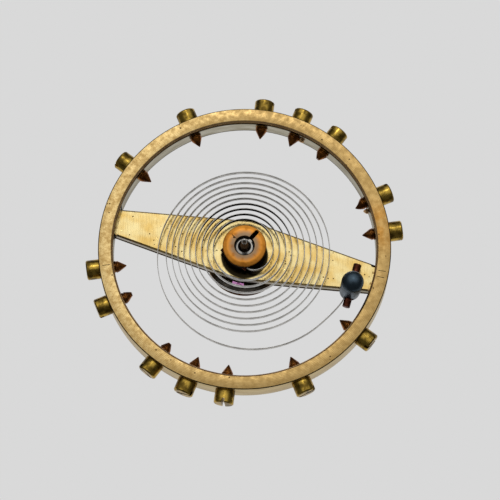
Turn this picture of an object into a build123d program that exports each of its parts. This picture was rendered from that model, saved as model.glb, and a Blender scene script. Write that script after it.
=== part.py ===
from build123d import *
import math
import os

# Balance wheel of a mechanical watch, complete with its staff, rollers, hairspring and stud.
# Millimetres. The origin lies on the staff's axis at the middle of the rim's height.
# +Z points to the hairspring's side and +X runs along the crossbar.

os.makedirs("parts", exist_ok=True)

# Rim
rim_outer_radius = 9.0
rim_width = 0.9
rim_height = 1.64
rim_bevel = 0.2

# Crossbar, flush with the rim's underside
bar_thickness = 0.92
bar_half_width_at_staff = 1.93
bar_half_width_at_rim = 0.8
bar_edge_bevel = 0.085
bar_end_step_width = 0.13
bar_end_step_depth = 0.06
corner_relief_radius = 0.13

# Timing screws, seven on each half of the rim, by the angle from +X
screw_angles = [20.5, 35.5, 65.5, 80.5, 95.5, 125.5, 155.5]
screw_slot_turns = [12, 70, 35, 100, 150, 58, 82, 165, 5, 120, 48, 93, 27, 140]
screw_head_radius = 0.61
screw_head_height = 0.81
screw_slot_width = 0.17
screw_slot_depth = 0.26
screw_shank_radius = 0.38
screw_shank_projection = 0.2
screw_point_length = 0.56

# Balance staff, from the flange under the crossbar outwards
staff_flange_width = 0.35
staff_flange_height = 0.35
staff_flange_bevel = 0.06
wheel_seat_radius = 0.8
collet_seat_radius = 0.585
collet_seat_height = 0.8
collet_seat_bevel = 0.05
upper_arbor_root_radius = 0.3
upper_arbor_end_radius = 0.16
upper_arbor_height = 0.9
roller_seat_radius = 0.42
lower_arbor_root_radius = 0.3
lower_arbor_end_radius = 0.2
lower_arbor_height = 0.35
pivot_radius = 0.06
pivot_length = 0.34
pivot_tip_bevel = 0.02
pivot_cone_height = 0.2

# Rollers and the impulse jewel
roller_table_radius = 2.39
roller_table_thickness = 0.77
roller_table_bevel = 0.07
safety_roller_to_jewel = 0.35
safety_roller_thickness = 0.5
safety_roller_bevel = 0.04
crescent_radius = 0.42
crescent_depth = 0.24
jewel_direction = -90.0
jewel_centre_inset = 0.51
jewel_radius = 0.38
jewel_flat_depth = 0.45
jewel_above_table = 0.04
jewel_below_table = 1.0
jewel_end_bevel = 0.05

# Collet
collet_wall = 0.755
collet_height = 0.97
collet_edge_bevel = 0.07
collet_slit_width = 0.34
collet_slit_direction = 62.0
collet_hole_radius = 0.17
collet_hole_inner_wall = 0.195
collet_pin_radius = 0.1
collet_pin_proud_length = 0.06

# Hairspring: a flat strip wound outwards, anticlockwise from above
spring_height_above_bar = 0.5
strip_thickness = 0.03
strip_height = 0.27
strip_inner_clearance = 0.01
inner_coil_clearance = 0.115
inner_coil_direction = 302.0
inner_exit_direction = 290.0
strip_inner_tail_length = 0.6
full_turns = 10
terminal_rise = 0.87
terminal_end_inset = 0.272
terminal_start_direction = 133.0
terminal_end_direction = 325.0
coil_knots_per_turn = 2
terminal_knots_per_turn = 4

# Hairspring stud and the pin in its cross hole
stud_to_rim = 0.495
stud_direction = -10.0
stud_radius = 0.63
stud_clamped_length = 1.2
stud_foot_taper = 0.03
stud_foot_above_bar = 0.12
stud_length = 2.48
stud_dome_height = 0.22
stud_foot_bevel = 0.18
stud_hole_radius = 0.25
stud_hole_direction = 87.5
stud_pin_thick_radius = 0.205
stud_pin_thin_radius = 0.165
stud_pin_thick_reach = 1.9
stud_pin_thin_reach = 1.15
strip_pin_clearance = 0.01
strip_straight_before_stud = 0.68
strip_outer_tail_length = 0.45

# How far a cutting shape runs past the surface that it cuts
overrun = 0.1


def polar(radius, direction, height=0):
    """The point at a radius, a direction in degrees and a height."""
    turn = math.radians(direction)
    return Vector(radius * math.cos(turn), radius * math.sin(turn), height)


def unit(direction):
    """The unit vector at a direction in degrees, in the wheel's plane."""
    return polar(1, direction)


def keep(part, name):
    """Label a finished piece and write it to its file."""
    part.label = name
    export_step(part, f"parts/{name}.step")


# Heights that several pieces share
rim_bottom = -rim_height / 2
bar_top = rim_bottom + bar_thickness
rim_inner_radius = rim_outer_radius - rim_width
rim_middle_radius = rim_outer_radius - rim_width / 2
spring_height = bar_top + spring_height_above_bar
flange_bottom = rim_bottom - staff_flange_height
staff_flange_radius = wheel_seat_radius + staff_flange_width
roller_table_bottom = flange_bottom - roller_table_thickness
safety_roller_bottom = roller_table_bottom - safety_roller_thickness
jewel_centre_radius = roller_table_radius - jewel_centre_inset
safety_roller_radius = jewel_centre_radius - jewel_radius - safety_roller_to_jewel
all_screw_angles = screw_angles + [angle + 180 for angle in screw_angles]


def bar_half_width(x):
    """Half of the crossbar's width at a distance from the staff's axis."""
    taper = (bar_half_width_at_staff - bar_half_width_at_rim) / rim_inner_radius
    return bar_half_width_at_staff - taper * x


# Balance wheel: the crossbar with its bevelled edges and stepped ends, then the rim around it
with BuildPart() as balance_wheel:
    with BuildSketch(Plane.XY.offset(rim_bottom)) as bar_outline:
        with BuildLine():
            Polyline(
                (rim_middle_radius, bar_half_width(rim_middle_radius)),
                (0, bar_half_width_at_staff),
                (-rim_middle_radius, bar_half_width(rim_middle_radius)),
                (-rim_middle_radius, -bar_half_width(rim_middle_radius)),
                (0, -bar_half_width_at_staff),
                (rim_middle_radius, -bar_half_width(rim_middle_radius)),
                close=True,
            )
        make_face()
    extrude(amount=bar_thickness)
    long_top_edges = balance_wheel.edges().group_by(Axis.Z)[-1].sort_by(Edge.length)[2:]
    chamfer(long_top_edges, length=bar_edge_bevel)

    with BuildSketch(Plane.XY.offset(bar_top - bar_end_step_depth)) as end_steps:
        Circle(rim_outer_radius)
        Circle(rim_inner_radius - bar_end_step_width, mode=Mode.SUBTRACT)
    extrude(amount=bar_end_step_depth + overrun, mode=Mode.SUBTRACT)

    with BuildSketch(Plane.XZ) as rim_section:
        with Locations((rim_middle_radius, 0)):
            Rectangle(rim_width, rim_height)
        chamfer(rim_section.vertices(), length=rim_bevel)
    revolve(axis=Axis.Z)

    corner_half_width = bar_half_width(rim_inner_radius)
    corner_x = math.sqrt(rim_inner_radius**2 - corner_half_width**2)
    with BuildSketch(Plane.XY.offset(rim_bottom - overrun)) as corner_reliefs:
        with GridLocations(2 * corner_x, 2 * corner_half_width, 2, 2):
            Circle(corner_relief_radius)
    extrude(amount=bar_thickness + 2 * overrun, mode=Mode.SUBTRACT)

    with BuildSketch(Plane.XY.offset(rim_bottom - overrun)) as staff_hole:
        Circle(wheel_seat_radius)
    extrude(amount=bar_thickness + 2 * overrun, mode=Mode.SUBTRACT)

    for angle in all_screw_angles:
        with BuildSketch(Plane(origin=polar(rim_inner_radius - overrun, angle), z_dir=unit(angle))):
            Circle(screw_shank_radius)
        extrude(amount=rim_width + 2 * overrun, mode=Mode.SUBTRACT)
keep(balance_wheel.part, "balance_wheel")


def timing_screw(angle, slot_turn):
    """One timing screw: slotted head outside the rim, shank through it and a cone point inside."""
    outwards = unit(angle)
    head_top = rim_outer_radius + screw_head_height
    shank_end = rim_inner_radius - screw_shank_projection
    point_end = shank_end - screw_point_length
    with BuildPart() as screw:
        with BuildSketch(Plane(origin=(0, 0, 0), x_dir=outwards, z_dir=(0, 0, 1))):
            with BuildLine():
                Polyline(
                    (point_end, 0),
                    (shank_end, screw_shank_radius),
                    (rim_outer_radius, screw_shank_radius),
                    (rim_outer_radius, screw_head_radius),
                    (head_top, screw_head_radius),
                    (head_top, 0),
                    close=True,
                )
            make_face()
        revolve(axis=Axis((0, 0, 0), outwards))
        with BuildSketch(Plane(origin=outwards * head_top, x_dir=(0, 0, 1), z_dir=-outwards)):
            Rectangle(2 * screw_head_radius + overrun, screw_slot_width, rotation=slot_turn)
        extrude(amount=screw_slot_depth, mode=Mode.SUBTRACT)
    return screw.part


for number, (angle, slot_turn) in enumerate(zip(all_screw_angles, screw_slot_turns), start=1):
    keep(timing_screw(angle, slot_turn), f"timing_screw_{number:02d}")


# Balance staff, turned from one bar: its half section, from the lower conical pivot to the upper one
collet_seat_top = bar_top + collet_seat_height
upper_arbor_top = collet_seat_top + upper_arbor_height
upper_pivot_root = upper_arbor_top + pivot_cone_height
upper_pivot_tip = upper_pivot_root + pivot_length
lower_arbor_bottom = safety_roller_bottom - lower_arbor_height
lower_pivot_root = lower_arbor_bottom - pivot_cone_height
lower_pivot_tip = lower_pivot_root - pivot_length

with BuildPart() as balance_staff:
    with BuildSketch(Plane.XZ):
        with BuildLine():
            Polyline(
                (0, lower_pivot_tip),
                (pivot_radius - pivot_tip_bevel, lower_pivot_tip),
                (pivot_radius, lower_pivot_tip + pivot_tip_bevel),
                (pivot_radius, lower_pivot_root),
                (lower_arbor_end_radius, lower_arbor_bottom),
                (lower_arbor_root_radius, safety_roller_bottom),
                (roller_seat_radius, safety_roller_bottom),
                (roller_seat_radius, flange_bottom),
                (staff_flange_radius - staff_flange_bevel, flange_bottom),
                (staff_flange_radius, flange_bottom + staff_flange_bevel),
                (staff_flange_radius, rim_bottom),
                (wheel_seat_radius, rim_bottom),
                (wheel_seat_radius, bar_top),
                (collet_seat_radius, bar_top),
                (collet_seat_radius, collet_seat_top - collet_seat_bevel),
                (collet_seat_radius - collet_seat_bevel, collet_seat_top),
                (upper_arbor_root_radius, collet_seat_top),
                (upper_arbor_end_radius, upper_arbor_top),
                (pivot_radius, upper_pivot_root),
                (pivot_radius, upper_pivot_tip - pivot_tip_bevel),
                (pivot_radius - pivot_tip_bevel, upper_pivot_tip),
                (0, upper_pivot_tip),
                close=True,
            )
        make_face()
    revolve(axis=Axis.Z)
keep(balance_staff.part, "balance_staff")


# Impulse jewel: a D-shaped stone with its flat side away from the staff
jewel_length = jewel_above_table + roller_table_thickness + jewel_below_table


def jewel_outline():
    """Add the jewel's D-shaped outline to the sketch being built, with +X away from the staff."""
    Circle(jewel_radius)
    with Locations((jewel_flat_depth, 0)):
        Rectangle(2 * jewel_radius, 2 * jewel_radius, mode=Mode.SUBTRACT)


def jewel_plane(height):
    """The plane at a height, centred on the jewel, with +X away from the staff."""
    centre = polar(jewel_centre_radius, jewel_direction, height)
    return Plane(origin=centre, x_dir=unit(jewel_direction), z_dir=(0, 0, 1))


with BuildPart() as impulse_jewel:
    with BuildSketch(jewel_plane(roller_table_bottom - jewel_below_table)):
        jewel_outline()
    extrude(amount=jewel_length)
    chamfer(impulse_jewel.edges().group_by(Axis.Z)[0], length=jewel_end_bevel)
keep(impulse_jewel.part, "impulse_jewel")


# Roller table, with the jewel's hole
with BuildPart() as roller_table:
    with BuildSketch(Plane.XY.offset(roller_table_bottom)):
        Circle(roller_table_radius)
        Circle(roller_seat_radius, mode=Mode.SUBTRACT)
    extrude(amount=roller_table_thickness)
    outer_edges = roller_table.edges().filter_by(GeomType.CIRCLE).sort_by(SortBy.RADIUS)[-2:]
    chamfer(outer_edges, length=roller_table_bevel)
    with BuildSketch(jewel_plane(roller_table_bottom - overrun)):
        jewel_outline()
    extrude(amount=roller_table_thickness + 2 * overrun, mode=Mode.SUBTRACT)
keep(roller_table.part, "roller_table")


# Safety roller, with the crescent that lets the guard pin pass at the jewel
with BuildPart() as safety_roller:
    with BuildSketch(Plane.XY.offset(safety_roller_bottom)):
        Circle(safety_roller_radius)
        Circle(roller_seat_radius, mode=Mode.SUBTRACT)
    extrude(amount=safety_roller_thickness)
    outer_edges = safety_roller.edges().filter_by(GeomType.CIRCLE).sort_by(SortBy.RADIUS)[-2:]
    chamfer(outer_edges, length=safety_roller_bevel)
    crescent_centre = polar(safety_roller_radius + crescent_radius - crescent_depth, jewel_direction)
    with BuildSketch(Plane.XY.offset(safety_roller_bottom - overrun)):
        with Locations((crescent_centre.X, crescent_centre.Y)):
            Circle(crescent_radius)
    extrude(amount=safety_roller_thickness + 2 * overrun, mode=Mode.SUBTRACT)
keep(safety_roller.part, "safety_roller")


# The collet's cross hole is a chord of the ring. The strip lies in it on the side of the staff,
# and the pin wedges it from the other side.
collet_radius = collet_seat_radius + collet_wall
collet_hole_distance = collet_seat_radius + collet_hole_inner_wall + collet_hole_radius
strip_inner_distance = (
    collet_hole_distance
    + collet_hole_radius
    - 2 * collet_pin_radius
    - strip_inner_clearance
    - strip_thickness / 2
)
inner_foot_direction = inner_exit_direction - math.degrees(
    math.acos(strip_inner_distance / collet_radius)
)
inner_run_direction = inner_foot_direction + 90
collet_half_chord = math.sqrt(collet_radius**2 - collet_hole_distance**2)


def collet_chord_plane(distance, along):
    """The plane square to the collet's cross hole, at a distance from the staff's axis."""
    foot = polar(distance, inner_foot_direction, spring_height)
    origin = foot + unit(inner_run_direction) * along
    return Plane(origin=origin, x_dir=(0, 0, 1), z_dir=unit(inner_run_direction))


with BuildPart() as collet:
    with BuildSketch(Plane.XY.offset(bar_top)):
        Circle(collet_radius)
        Circle(collet_seat_radius, mode=Mode.SUBTRACT)
    extrude(amount=collet_height)
    top_edges = collet.edges().group_by(Axis.Z)[-1].sort_by(SortBy.RADIUS)
    chamfer(top_edges, length=collet_edge_bevel)
    with BuildSketch(Plane.XY.offset(bar_top - overrun)):
        with PolarLocations(collet_radius, 1, start_angle=collet_slit_direction):
            Rectangle(2 * (collet_radius - collet_seat_radius) + overrun, collet_slit_width)
    extrude(amount=collet_height + 2 * overrun, mode=Mode.SUBTRACT)
    with BuildSketch(collet_chord_plane(collet_hole_distance, -collet_radius)):
        Circle(collet_hole_radius)
    extrude(amount=2 * collet_radius, mode=Mode.SUBTRACT)
keep(collet.part, "collet")

collet_pin_distance = collet_hole_distance + collet_hole_radius - collet_pin_radius
collet_pin_length = 2 * (collet_half_chord + collet_pin_proud_length)
with BuildPart(collet_chord_plane(collet_pin_distance, 0)) as collet_pin:
    Cylinder(collet_pin_radius, collet_pin_length)
keep(collet_pin.part, "collet_pin")


# The stud's upper length is what the balance cock clamps. Below it the post tapers slightly, and
# there its cross hole runs through the stud's axis: the pin fills the hole's outer side and the
# strip lies flat along the pin's inner side.
stud_centre_radius = rim_inner_radius - stud_to_rim - stud_radius
stud_centre = polar(stud_centre_radius, stud_direction, spring_height)
hole_run = unit(stud_hole_direction)
hole_outwards = unit(stud_hole_direction - 90)
stud_pin_length = stud_pin_thick_reach + stud_pin_thin_reach
stud_pin_taper = (stud_pin_thick_radius - stud_pin_thin_radius) / stud_pin_length
pin_radius_at_mouth = stud_pin_thin_radius + stud_pin_taper * (stud_pin_thin_reach + stud_radius)
stud_pin_offset = stud_hole_radius - pin_radius_at_mouth
strip_offset = pin_radius_at_mouth - stud_pin_offset + strip_pin_clearance + strip_thickness / 2


def stud_plane(offset, along):
    """The plane square to the stud's cross hole, offset away from the staff's axis."""
    origin = stud_centre + hole_outwards * offset + hole_run * along
    return Plane(origin=origin, x_dir=(0, 0, 1), z_dir=hole_run)


stud_foot = bar_top + stud_foot_above_bar
stud_top = stud_foot + stud_length
stud_clamp_bottom = stud_top - stud_dome_height - stud_clamped_length
stud_foot_radius = stud_radius - stud_foot_taper
stud_axis = Axis((stud_centre.X, stud_centre.Y, 0), (0, 0, 1))
with BuildPart() as hairspring_stud:
    with BuildSketch(Plane(origin=stud_axis.position, x_dir=(1, 0, 0), z_dir=(0, -1, 0))):
        with BuildLine():
            Polyline(
                (0, stud_top),
                (0, stud_foot),
                (stud_foot_radius - stud_foot_bevel, stud_foot),
                (stud_foot_radius, stud_foot + stud_foot_bevel),
                (stud_radius, stud_clamp_bottom),
                (stud_radius, stud_top - stud_dome_height),
            )
            TangentArc((0, stud_top), (stud_radius, stud_top - stud_dome_height), tangent=(1, 0))
        make_face()
    revolve(axis=stud_axis)
    with BuildSketch(stud_plane(0, -stud_radius - overrun)):
        Circle(stud_hole_radius)
    extrude(amount=2 * (stud_radius + overrun), mode=Mode.SUBTRACT)
keep(hairspring_stud.part, "hairspring_stud")

stud_pin_middle = (stud_pin_thick_reach - stud_pin_thin_reach) / 2
with BuildPart(stud_plane(stud_pin_offset, stud_pin_middle)) as stud_pin:
    Cone(stud_pin_thin_radius, stud_pin_thick_radius, stud_pin_length)
keep(stud_pin.part, "stud_pin")


# Hairspring: a steady spiral, then a terminal curve that rises to the stud
terminal_start = full_turns - 1 + (terminal_start_direction - inner_coil_direction + 360) / 360
terminal_end = full_turns + (terminal_end_direction - inner_coil_direction) / 360
inner_coil_radius = collet_radius + inner_coil_clearance
terminal_end_radius = stud_centre_radius - terminal_end_inset
coil_pitch = (terminal_end_radius - terminal_rise - inner_coil_radius) / terminal_end


def coil_radius(turns):
    """The strip's radius after a number of turns from the inner coil's start."""
    share = (turns - terminal_start) / (terminal_end - terminal_start)
    share = min(max(share, 0), 1)
    return inner_coil_radius + coil_pitch * turns + terminal_rise * share**2 * (3 - 2 * share)


def coil_growth(turns):
    """How fast the strip's radius grows with the turns."""
    share = (turns - terminal_start) / (terminal_end - terminal_start)
    share = min(max(share, 0), 1)
    return coil_pitch + terminal_rise * 6 * share * (1 - share) / (terminal_end - terminal_start)


def coil_point(turns):
    """The strip's place after a number of turns."""
    return polar(coil_radius(turns), inner_coil_direction + 360 * turns, spring_height)


def coil_run(turns):
    """The strip's unit direction after a number of turns."""
    direction = inner_coil_direction + 360 * turns
    outwards = unit(direction) * (coil_growth(turns) / (2 * math.pi))
    return (outwards + unit(direction + 90) * coil_radius(turns)).normalized()


def biarc(start, start_run, end, end_run):
    """Draw two arcs that leave one point and reach the next along the given directions."""
    chord = end - start
    runs = start_run + end_run
    spread = 2 * (1 - start_run.dot(end_run))
    reach = (math.sqrt(chord.dot(runs) ** 2 + spread * chord.dot(chord)) - chord.dot(runs)) / spread
    joint = (start + end + (start_run - end_run) * reach) / 2
    first = TangentArc(start, joint, tangent=start_run)
    TangentArc(joint, end, tangent=first % 1)


def knots_between(start, end, knots_per_turn):
    """The turns at which arcs meet, evenly spaced from a start to just before an end."""
    count = round((end - start) * knots_per_turn)
    return [start + (end - start) * step / count for step in range(count)]


coil_knots = knots_between(0, terminal_start, coil_knots_per_turn)
terminal_knots = knots_between(terminal_start, terminal_end, terminal_knots_per_turn)
knots = coil_knots + terminal_knots + [terminal_end]
inner_foot = polar(strip_inner_distance, inner_foot_direction, spring_height)
strip_start = inner_foot - unit(inner_run_direction) * strip_inner_tail_length
collet_exit = polar(collet_radius, inner_exit_direction, spring_height)
stud_strip_middle = stud_centre - hole_outwards * strip_offset
stud_entry = stud_strip_middle - hole_run * strip_straight_before_stud
strip_end = stud_strip_middle + hole_run * (stud_radius + strip_outer_tail_length)

with BuildPart() as hairspring:
    with BuildLine() as strip_path:
        Line(strip_start, collet_exit)
        biarc(collet_exit, unit(inner_run_direction), coil_point(0), coil_run(0))
        for turns, next_turns in zip(knots, knots[1:]):
            biarc(coil_point(turns), coil_run(turns), coil_point(next_turns), coil_run(next_turns))
        biarc(coil_point(terminal_end), coil_run(terminal_end), stud_entry, hole_run)
        Line(stud_entry, strip_end)
    strip_wire = strip_path.wire()
    with BuildSketch(Plane(origin=strip_wire @ 0, x_dir=(0, 0, 1), z_dir=strip_wire % 0)):
        Rectangle(strip_height, strip_thickness)
    sweep(path=strip_wire)
keep(hairspring.part, "hairspring")

# The least gap between neighbouring turns, measured on points along the strip
gap_samples = 3600
sample_length = strip_wire.length / gap_samples
strip_points = [strip_wire @ (sample / gap_samples) for sample in range(gap_samples + 1)]
nearest_turn = int(math.pi * inner_coil_radius / sample_length)
least_distance = min(
    (strip_points[here] - strip_points[there]).length
    for here in range(0, gap_samples + 1, 4)
    for there in range(here + nearest_turn, gap_samples + 1)
)
print(f"strip length {strip_wire.length:.1f} mm")
print(f"least gap of the strip to itself {least_distance - strip_thickness:.3f} mm")
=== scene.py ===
"""Looks of a mechanical watch's balance wheel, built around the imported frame.

Sizes are in millimetres and directions in degrees from +X, in the frame's own axes: the staff
stands along +Z and the crossbar lies along X. Finished meshes are scaled to metres.
"""

import logging
import math
from collections.abc import Mapping, Sequence
from dataclasses import dataclass
from enum import Enum
from typing import ClassVar

import bmesh
import bpy
import numpy as np
from mathutils import Matrix, Vector


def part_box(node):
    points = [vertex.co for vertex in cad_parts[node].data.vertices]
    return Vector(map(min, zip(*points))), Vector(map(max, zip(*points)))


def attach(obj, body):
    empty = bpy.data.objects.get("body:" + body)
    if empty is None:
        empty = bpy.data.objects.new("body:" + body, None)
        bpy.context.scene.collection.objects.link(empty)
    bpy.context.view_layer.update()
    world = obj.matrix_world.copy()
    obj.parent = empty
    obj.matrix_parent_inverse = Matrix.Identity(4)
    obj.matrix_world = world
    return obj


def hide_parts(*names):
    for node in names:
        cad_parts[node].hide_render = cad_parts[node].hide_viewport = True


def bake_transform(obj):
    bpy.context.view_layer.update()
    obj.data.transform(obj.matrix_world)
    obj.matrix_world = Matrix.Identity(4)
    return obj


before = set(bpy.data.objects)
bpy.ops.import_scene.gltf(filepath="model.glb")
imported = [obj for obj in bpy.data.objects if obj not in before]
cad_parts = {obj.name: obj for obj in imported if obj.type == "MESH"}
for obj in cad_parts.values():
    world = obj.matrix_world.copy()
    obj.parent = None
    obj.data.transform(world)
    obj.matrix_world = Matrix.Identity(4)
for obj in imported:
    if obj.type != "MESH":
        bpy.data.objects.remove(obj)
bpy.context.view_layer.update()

LOG = logging.getLogger("balance_wheel")
MM = 0.001
TO_MM = 1000.0
QUARTER_TURN = 90.0
HALF_TURN = 180.0
FULL_TURN = 360.0
SMALLEST_RADIUS = 1e-6
# How far a cutter reaches past what it cuts
OVERRUN = 0.1
# The range that holds nearly all values of an uneven pattern
CLOUD = (0.3, 0.7)
# The size of the waver in turning marks, and how far it shifts their rings, in radians
WAVER_SIZE = (0.5, 0.5, 0.5)
WAVER_SHIFT = 4.0
# Pits lie in patches this many spacings wide, which set in over this range of their pattern
PATCH_SPACINGS = 3
PATCH_EDGE = (0.5, 0.56)
VECTOR_MATHS = "ShaderNodeVectorMath"

Solid = bmesh.types.BMesh
Piece = bpy.types.Object
Socket = bpy.types.NodeSocket
Point = tuple[float, float]
Corner = tuple[float, float, float]


class Body(Enum):
    """The bodies that pieces ride on."""

    BALANCE = "balance"
    STUD_GROUP = "stud_group"


class Slot(Enum):
    """The record's material slots."""

    GILT_BRASS = "gilt_brass"
    SCREW_BRASS = "screw_brass"
    BRONZE = "bronze"
    PIN_BRASS = "pin_brass"
    POLISHED_STEEL = "polished_steel"
    BLUED_STEEL = "blued_steel"
    SPRING_STEEL = "spring_steel"
    RUBY = "ruby"


class Cut(Enum):
    """How one solid works on another."""

    JOIN = "UNION"
    REMOVE = "DIFFERENCE"


class Zone(Enum):
    """The parts of the wheel that are finished differently."""

    RIM = "rim"
    RIM_BEVEL = "rim bevel"
    ARM = "arm"
    RIM_WALL = "rim wall"
    OUTER_WALL = "outer wall"
    ARM_WALL = "arm wall"
    RECESS = "recess"


class TipWear(Enum):
    """How a timing screw's point has worn."""

    SHARP = "sharp"
    BLUNT = "blunt"


def linear(hex_colour: str) -> tuple[float, float, float, float]:
    """Turn an sRGB hex colour to the linear values that shaders take.

    Args:
        hex_colour: Six hex digits after a hash sign.

    Returns:
        Red, green and blue as linear light, and an alpha of one.
    """
    channels = [int(hex_colour[place : place + 2], 16) / 255 for place in (1, 3, 5)]
    red, green, blue = (
        value / 12.92 if value <= 0.04045 else ((value + 0.055) / 1.055) ** 2.4
        for value in channels
    )
    return red, green, blue, 1.0


def polar(radius: float, direction: float, height: float = 0.0) -> Vector:
    """The point at a radius, a direction and a height, in millimetres."""
    turn = math.radians(direction)
    return Vector((radius * math.cos(turn), radius * math.sin(turn), height))


def about_staff(direction: float) -> Matrix:
    """A turn about the staff's axis."""
    return Matrix.Rotation(math.radians(direction), 4, "Z")


def ease(share: float) -> float:
    """A smooth rise from nought to one as the share goes from nought to one."""
    share = min(max(share, 0.0), 1.0)
    return share * share * (3 - 2 * share)


def heights(node: str) -> Point:
    """The lowest and highest points of a node of the frame, in millimetres."""
    low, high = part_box(node)
    return low.z * TO_MM, high.z * TO_MM


def outer_radius(node: str) -> float:
    """The radius of a round node that stands on the staff's axis, in millimetres."""
    low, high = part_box(node)
    return (high.x - low.x) / 2 * TO_MM


def rounded(corners: Sequence[Corner], closed: bool = False, arc_steps: int = 4) -> list[Point]:
    """Round the corners of an outline.

    Args:
        corners: Each corner's two places and its radius, where nought keeps it sharp.
        closed: Whether the last corner joins the first.
        arc_steps: How many straight pieces stand for one rounded corner.

    Returns:
        The outline's points with the arcs in place.
    """
    points: list[Point] = []
    count = len(corners)
    for index, (x, y, radius) in enumerate(corners):
        at_end = not closed and index in (0, count - 1)
        if radius <= 0 or at_end:
            points.append((x, y))
            continue
        here = Vector((x, y))
        to_last = (Vector(corners[index - 1][:2]) - here).normalized()
        to_next = (Vector(corners[(index + 1) % count][:2]) - here).normalized()
        half_angle = to_last.angle(to_next) / 2
        start = here + to_last * (radius / math.tan(half_angle))
        centre = here + (to_last + to_next).normalized() * (radius / math.sin(half_angle))
        sweep = math.pi - 2 * half_angle
        side = 1.0 if to_last.x * to_next.y - to_last.y * to_next.x < 0 else -1.0
        for step in range(arc_steps + 1):
            turned = Matrix.Rotation(side * sweep * step / arc_steps, 2) @ (start - centre)
            points.append(tuple(centre + turned))
    return points


def skin(
    solid: Solid, lower: Sequence[bmesh.types.BMVert], upper: Sequence[bmesh.types.BMVert]
) -> None:
    """Join two rings of points with faces, where either may be a single point.

    Args:
        solid: The mesh that holds the rings.
        lower: The first ring.
        upper: The second ring.
    """
    steps = max(len(lower), len(upper))
    for step in range(steps if steps > 1 else 0):
        after = (step + 1) % steps
        corners = [lower[step % len(lower)], lower[after % len(lower)]]
        corners += [upper[after % len(upper)], upper[step % len(upper)]]
        solid.faces.new(list(dict.fromkeys(corners)))


def stack(solid: Solid, rings: Sequence[Sequence[bmesh.types.BMVert]], capped: bool) -> None:
    """Join rings of points one after the other and turn all faces outwards.

    Args:
        solid: The mesh that holds the rings.
        rings: The rings, in order.
        capped: Whether the first and the last ring are closed with a face.
    """
    for lower, upper in zip(rings, rings[1:]):
        skin(solid, lower, upper)
    if capped:
        solid.faces.new(rings[0])
        solid.faces.new(rings[-1])
    bmesh.ops.recalc_face_normals(solid, faces=solid.faces)


def lathe(profile: Sequence[Point], steps: int, closed: bool = False) -> Solid:
    """Turn a half section about +Z.

    Args:
        profile: Radius and height of each point of the section.
        steps: How many flats stand for the full circle.
        closed: Whether the section closes on itself, as a ring's does.

    Returns:
        The turned solid.
    """
    solid = bmesh.new()
    rings = []
    for radius, height in profile:
        count = steps if radius > SMALLEST_RADIUS else 1
        turns = (FULL_TURN * step / steps for step in range(count))
        rings.append([solid.verts.new(polar(radius, turn, height)) for turn in turns])
    stack(solid, rings + rings[:1] if closed else rings, capped=False)
    return solid


def prism(outline: Sequence[Point], low: float, high: float) -> Solid:
    """Raise a closed outline from one height to another.

    Args:
        outline: The outline's points, in order.
        low: The lower face's height.
        high: The upper face's height.

    Returns:
        The solid.
    """
    solid = bmesh.new()
    rings = [[solid.verts.new((x, y, z)) for x, y in outline] for z in (low, high)]
    stack(solid, rings, capped=True)
    return solid


def block(size: Corner, place: Matrix) -> Solid:
    """A box, centred on a place.

    Args:
        size: Its three sides.
        place: Where it lies and how it is turned.

    Returns:
        The solid.
    """
    solid = bmesh.new()
    bmesh.ops.create_cube(solid, size=1.0, matrix=place @ Matrix.Diagonal((*size, 1.0)))
    return solid


def rod(radius: float, length: float, place: Matrix, steps: int = 48) -> Solid:
    """A round cutter, centred on a place and lying along its Z axis.

    Args:
        radius: Its radius.
        length: Its length.
        place: Where it lies and how it is turned.
        steps: How many flats stand for the full circle.

    Returns:
        The solid.
    """
    end = length / 2
    solid = lathe([(0, -end), (radius, -end), (radius, end), (0, end)], steps)
    solid.transform(place)
    return solid


def along(direction: Vector, origin: Vector) -> Matrix:
    """The place whose Z axis points in a direction from an origin."""
    return Matrix.Translation(origin) @ direction.to_track_quat("Z", "Y").to_matrix().to_4x4()


def to_object(solid: Solid, name: str) -> Piece:
    """Turn a built mesh into an object of the scene and free the build.

    Args:
        solid: The built mesh.
        name: The object's name.

    Returns:
        The object.
    """
    mesh = bpy.data.meshes.new(name)
    solid.to_mesh(mesh)
    solid.free()
    made = bpy.data.objects.new(name, mesh)
    bpy.context.scene.collection.objects.link(made)
    return made


def work(target: Piece, cut: Cut, cutters: Sequence[Solid]) -> None:
    """Join solids to an object or remove them from it, exactly.

    Args:
        target: The object that is worked on.
        cut: Whether the cutters are joined or removed.
        cutters: The solids, which are used up.
    """
    tools = [to_object(cutter, f"{target.name}_cutter") for cutter in cutters]
    for tool in tools:
        step = target.modifiers.new("work", "BOOLEAN")
        step.operation = cut.value
        step.solver = "EXACT"
        step.object = tool
    finished = target.evaluated_get(bpy.context.evaluated_depsgraph_get())
    mesh = bpy.data.meshes.new_from_object(finished)
    target.modifiers.clear()
    target.data = mesh
    for tool in tools:
        bpy.data.objects.remove(tool)


def put(tree: bpy.types.NodeTree, target: Socket, value: object) -> None:
    """Link an input from another socket, or else set it to a value.

    Args:
        tree: The node tree of both.
        target: The input.
        value: The socket that it is linked from, or the value.
    """
    if isinstance(value, Socket):
        tree.links.new(value, target)
    else:
        target.default_value = value


def add_node(
    tree: bpy.types.NodeTree,
    kind: str,
    inputs: Mapping[str | int, object] | None = None,
    **settings: object,
) -> bpy.types.Node:
    """Add a node with its settings and links.

    Args:
        tree: The node tree that takes the node.
        kind: The node's type.
        inputs: What each input gets: the socket that it is linked from, or a value.
        settings: The node's own settings.

    Returns:
        The node.
    """
    node = tree.nodes.new(kind)
    for name, value in settings.items():
        setattr(node, name, value)
    for key, value in (inputs or {}).items():
        put(tree, node.inputs[key], value)
    return node


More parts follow.
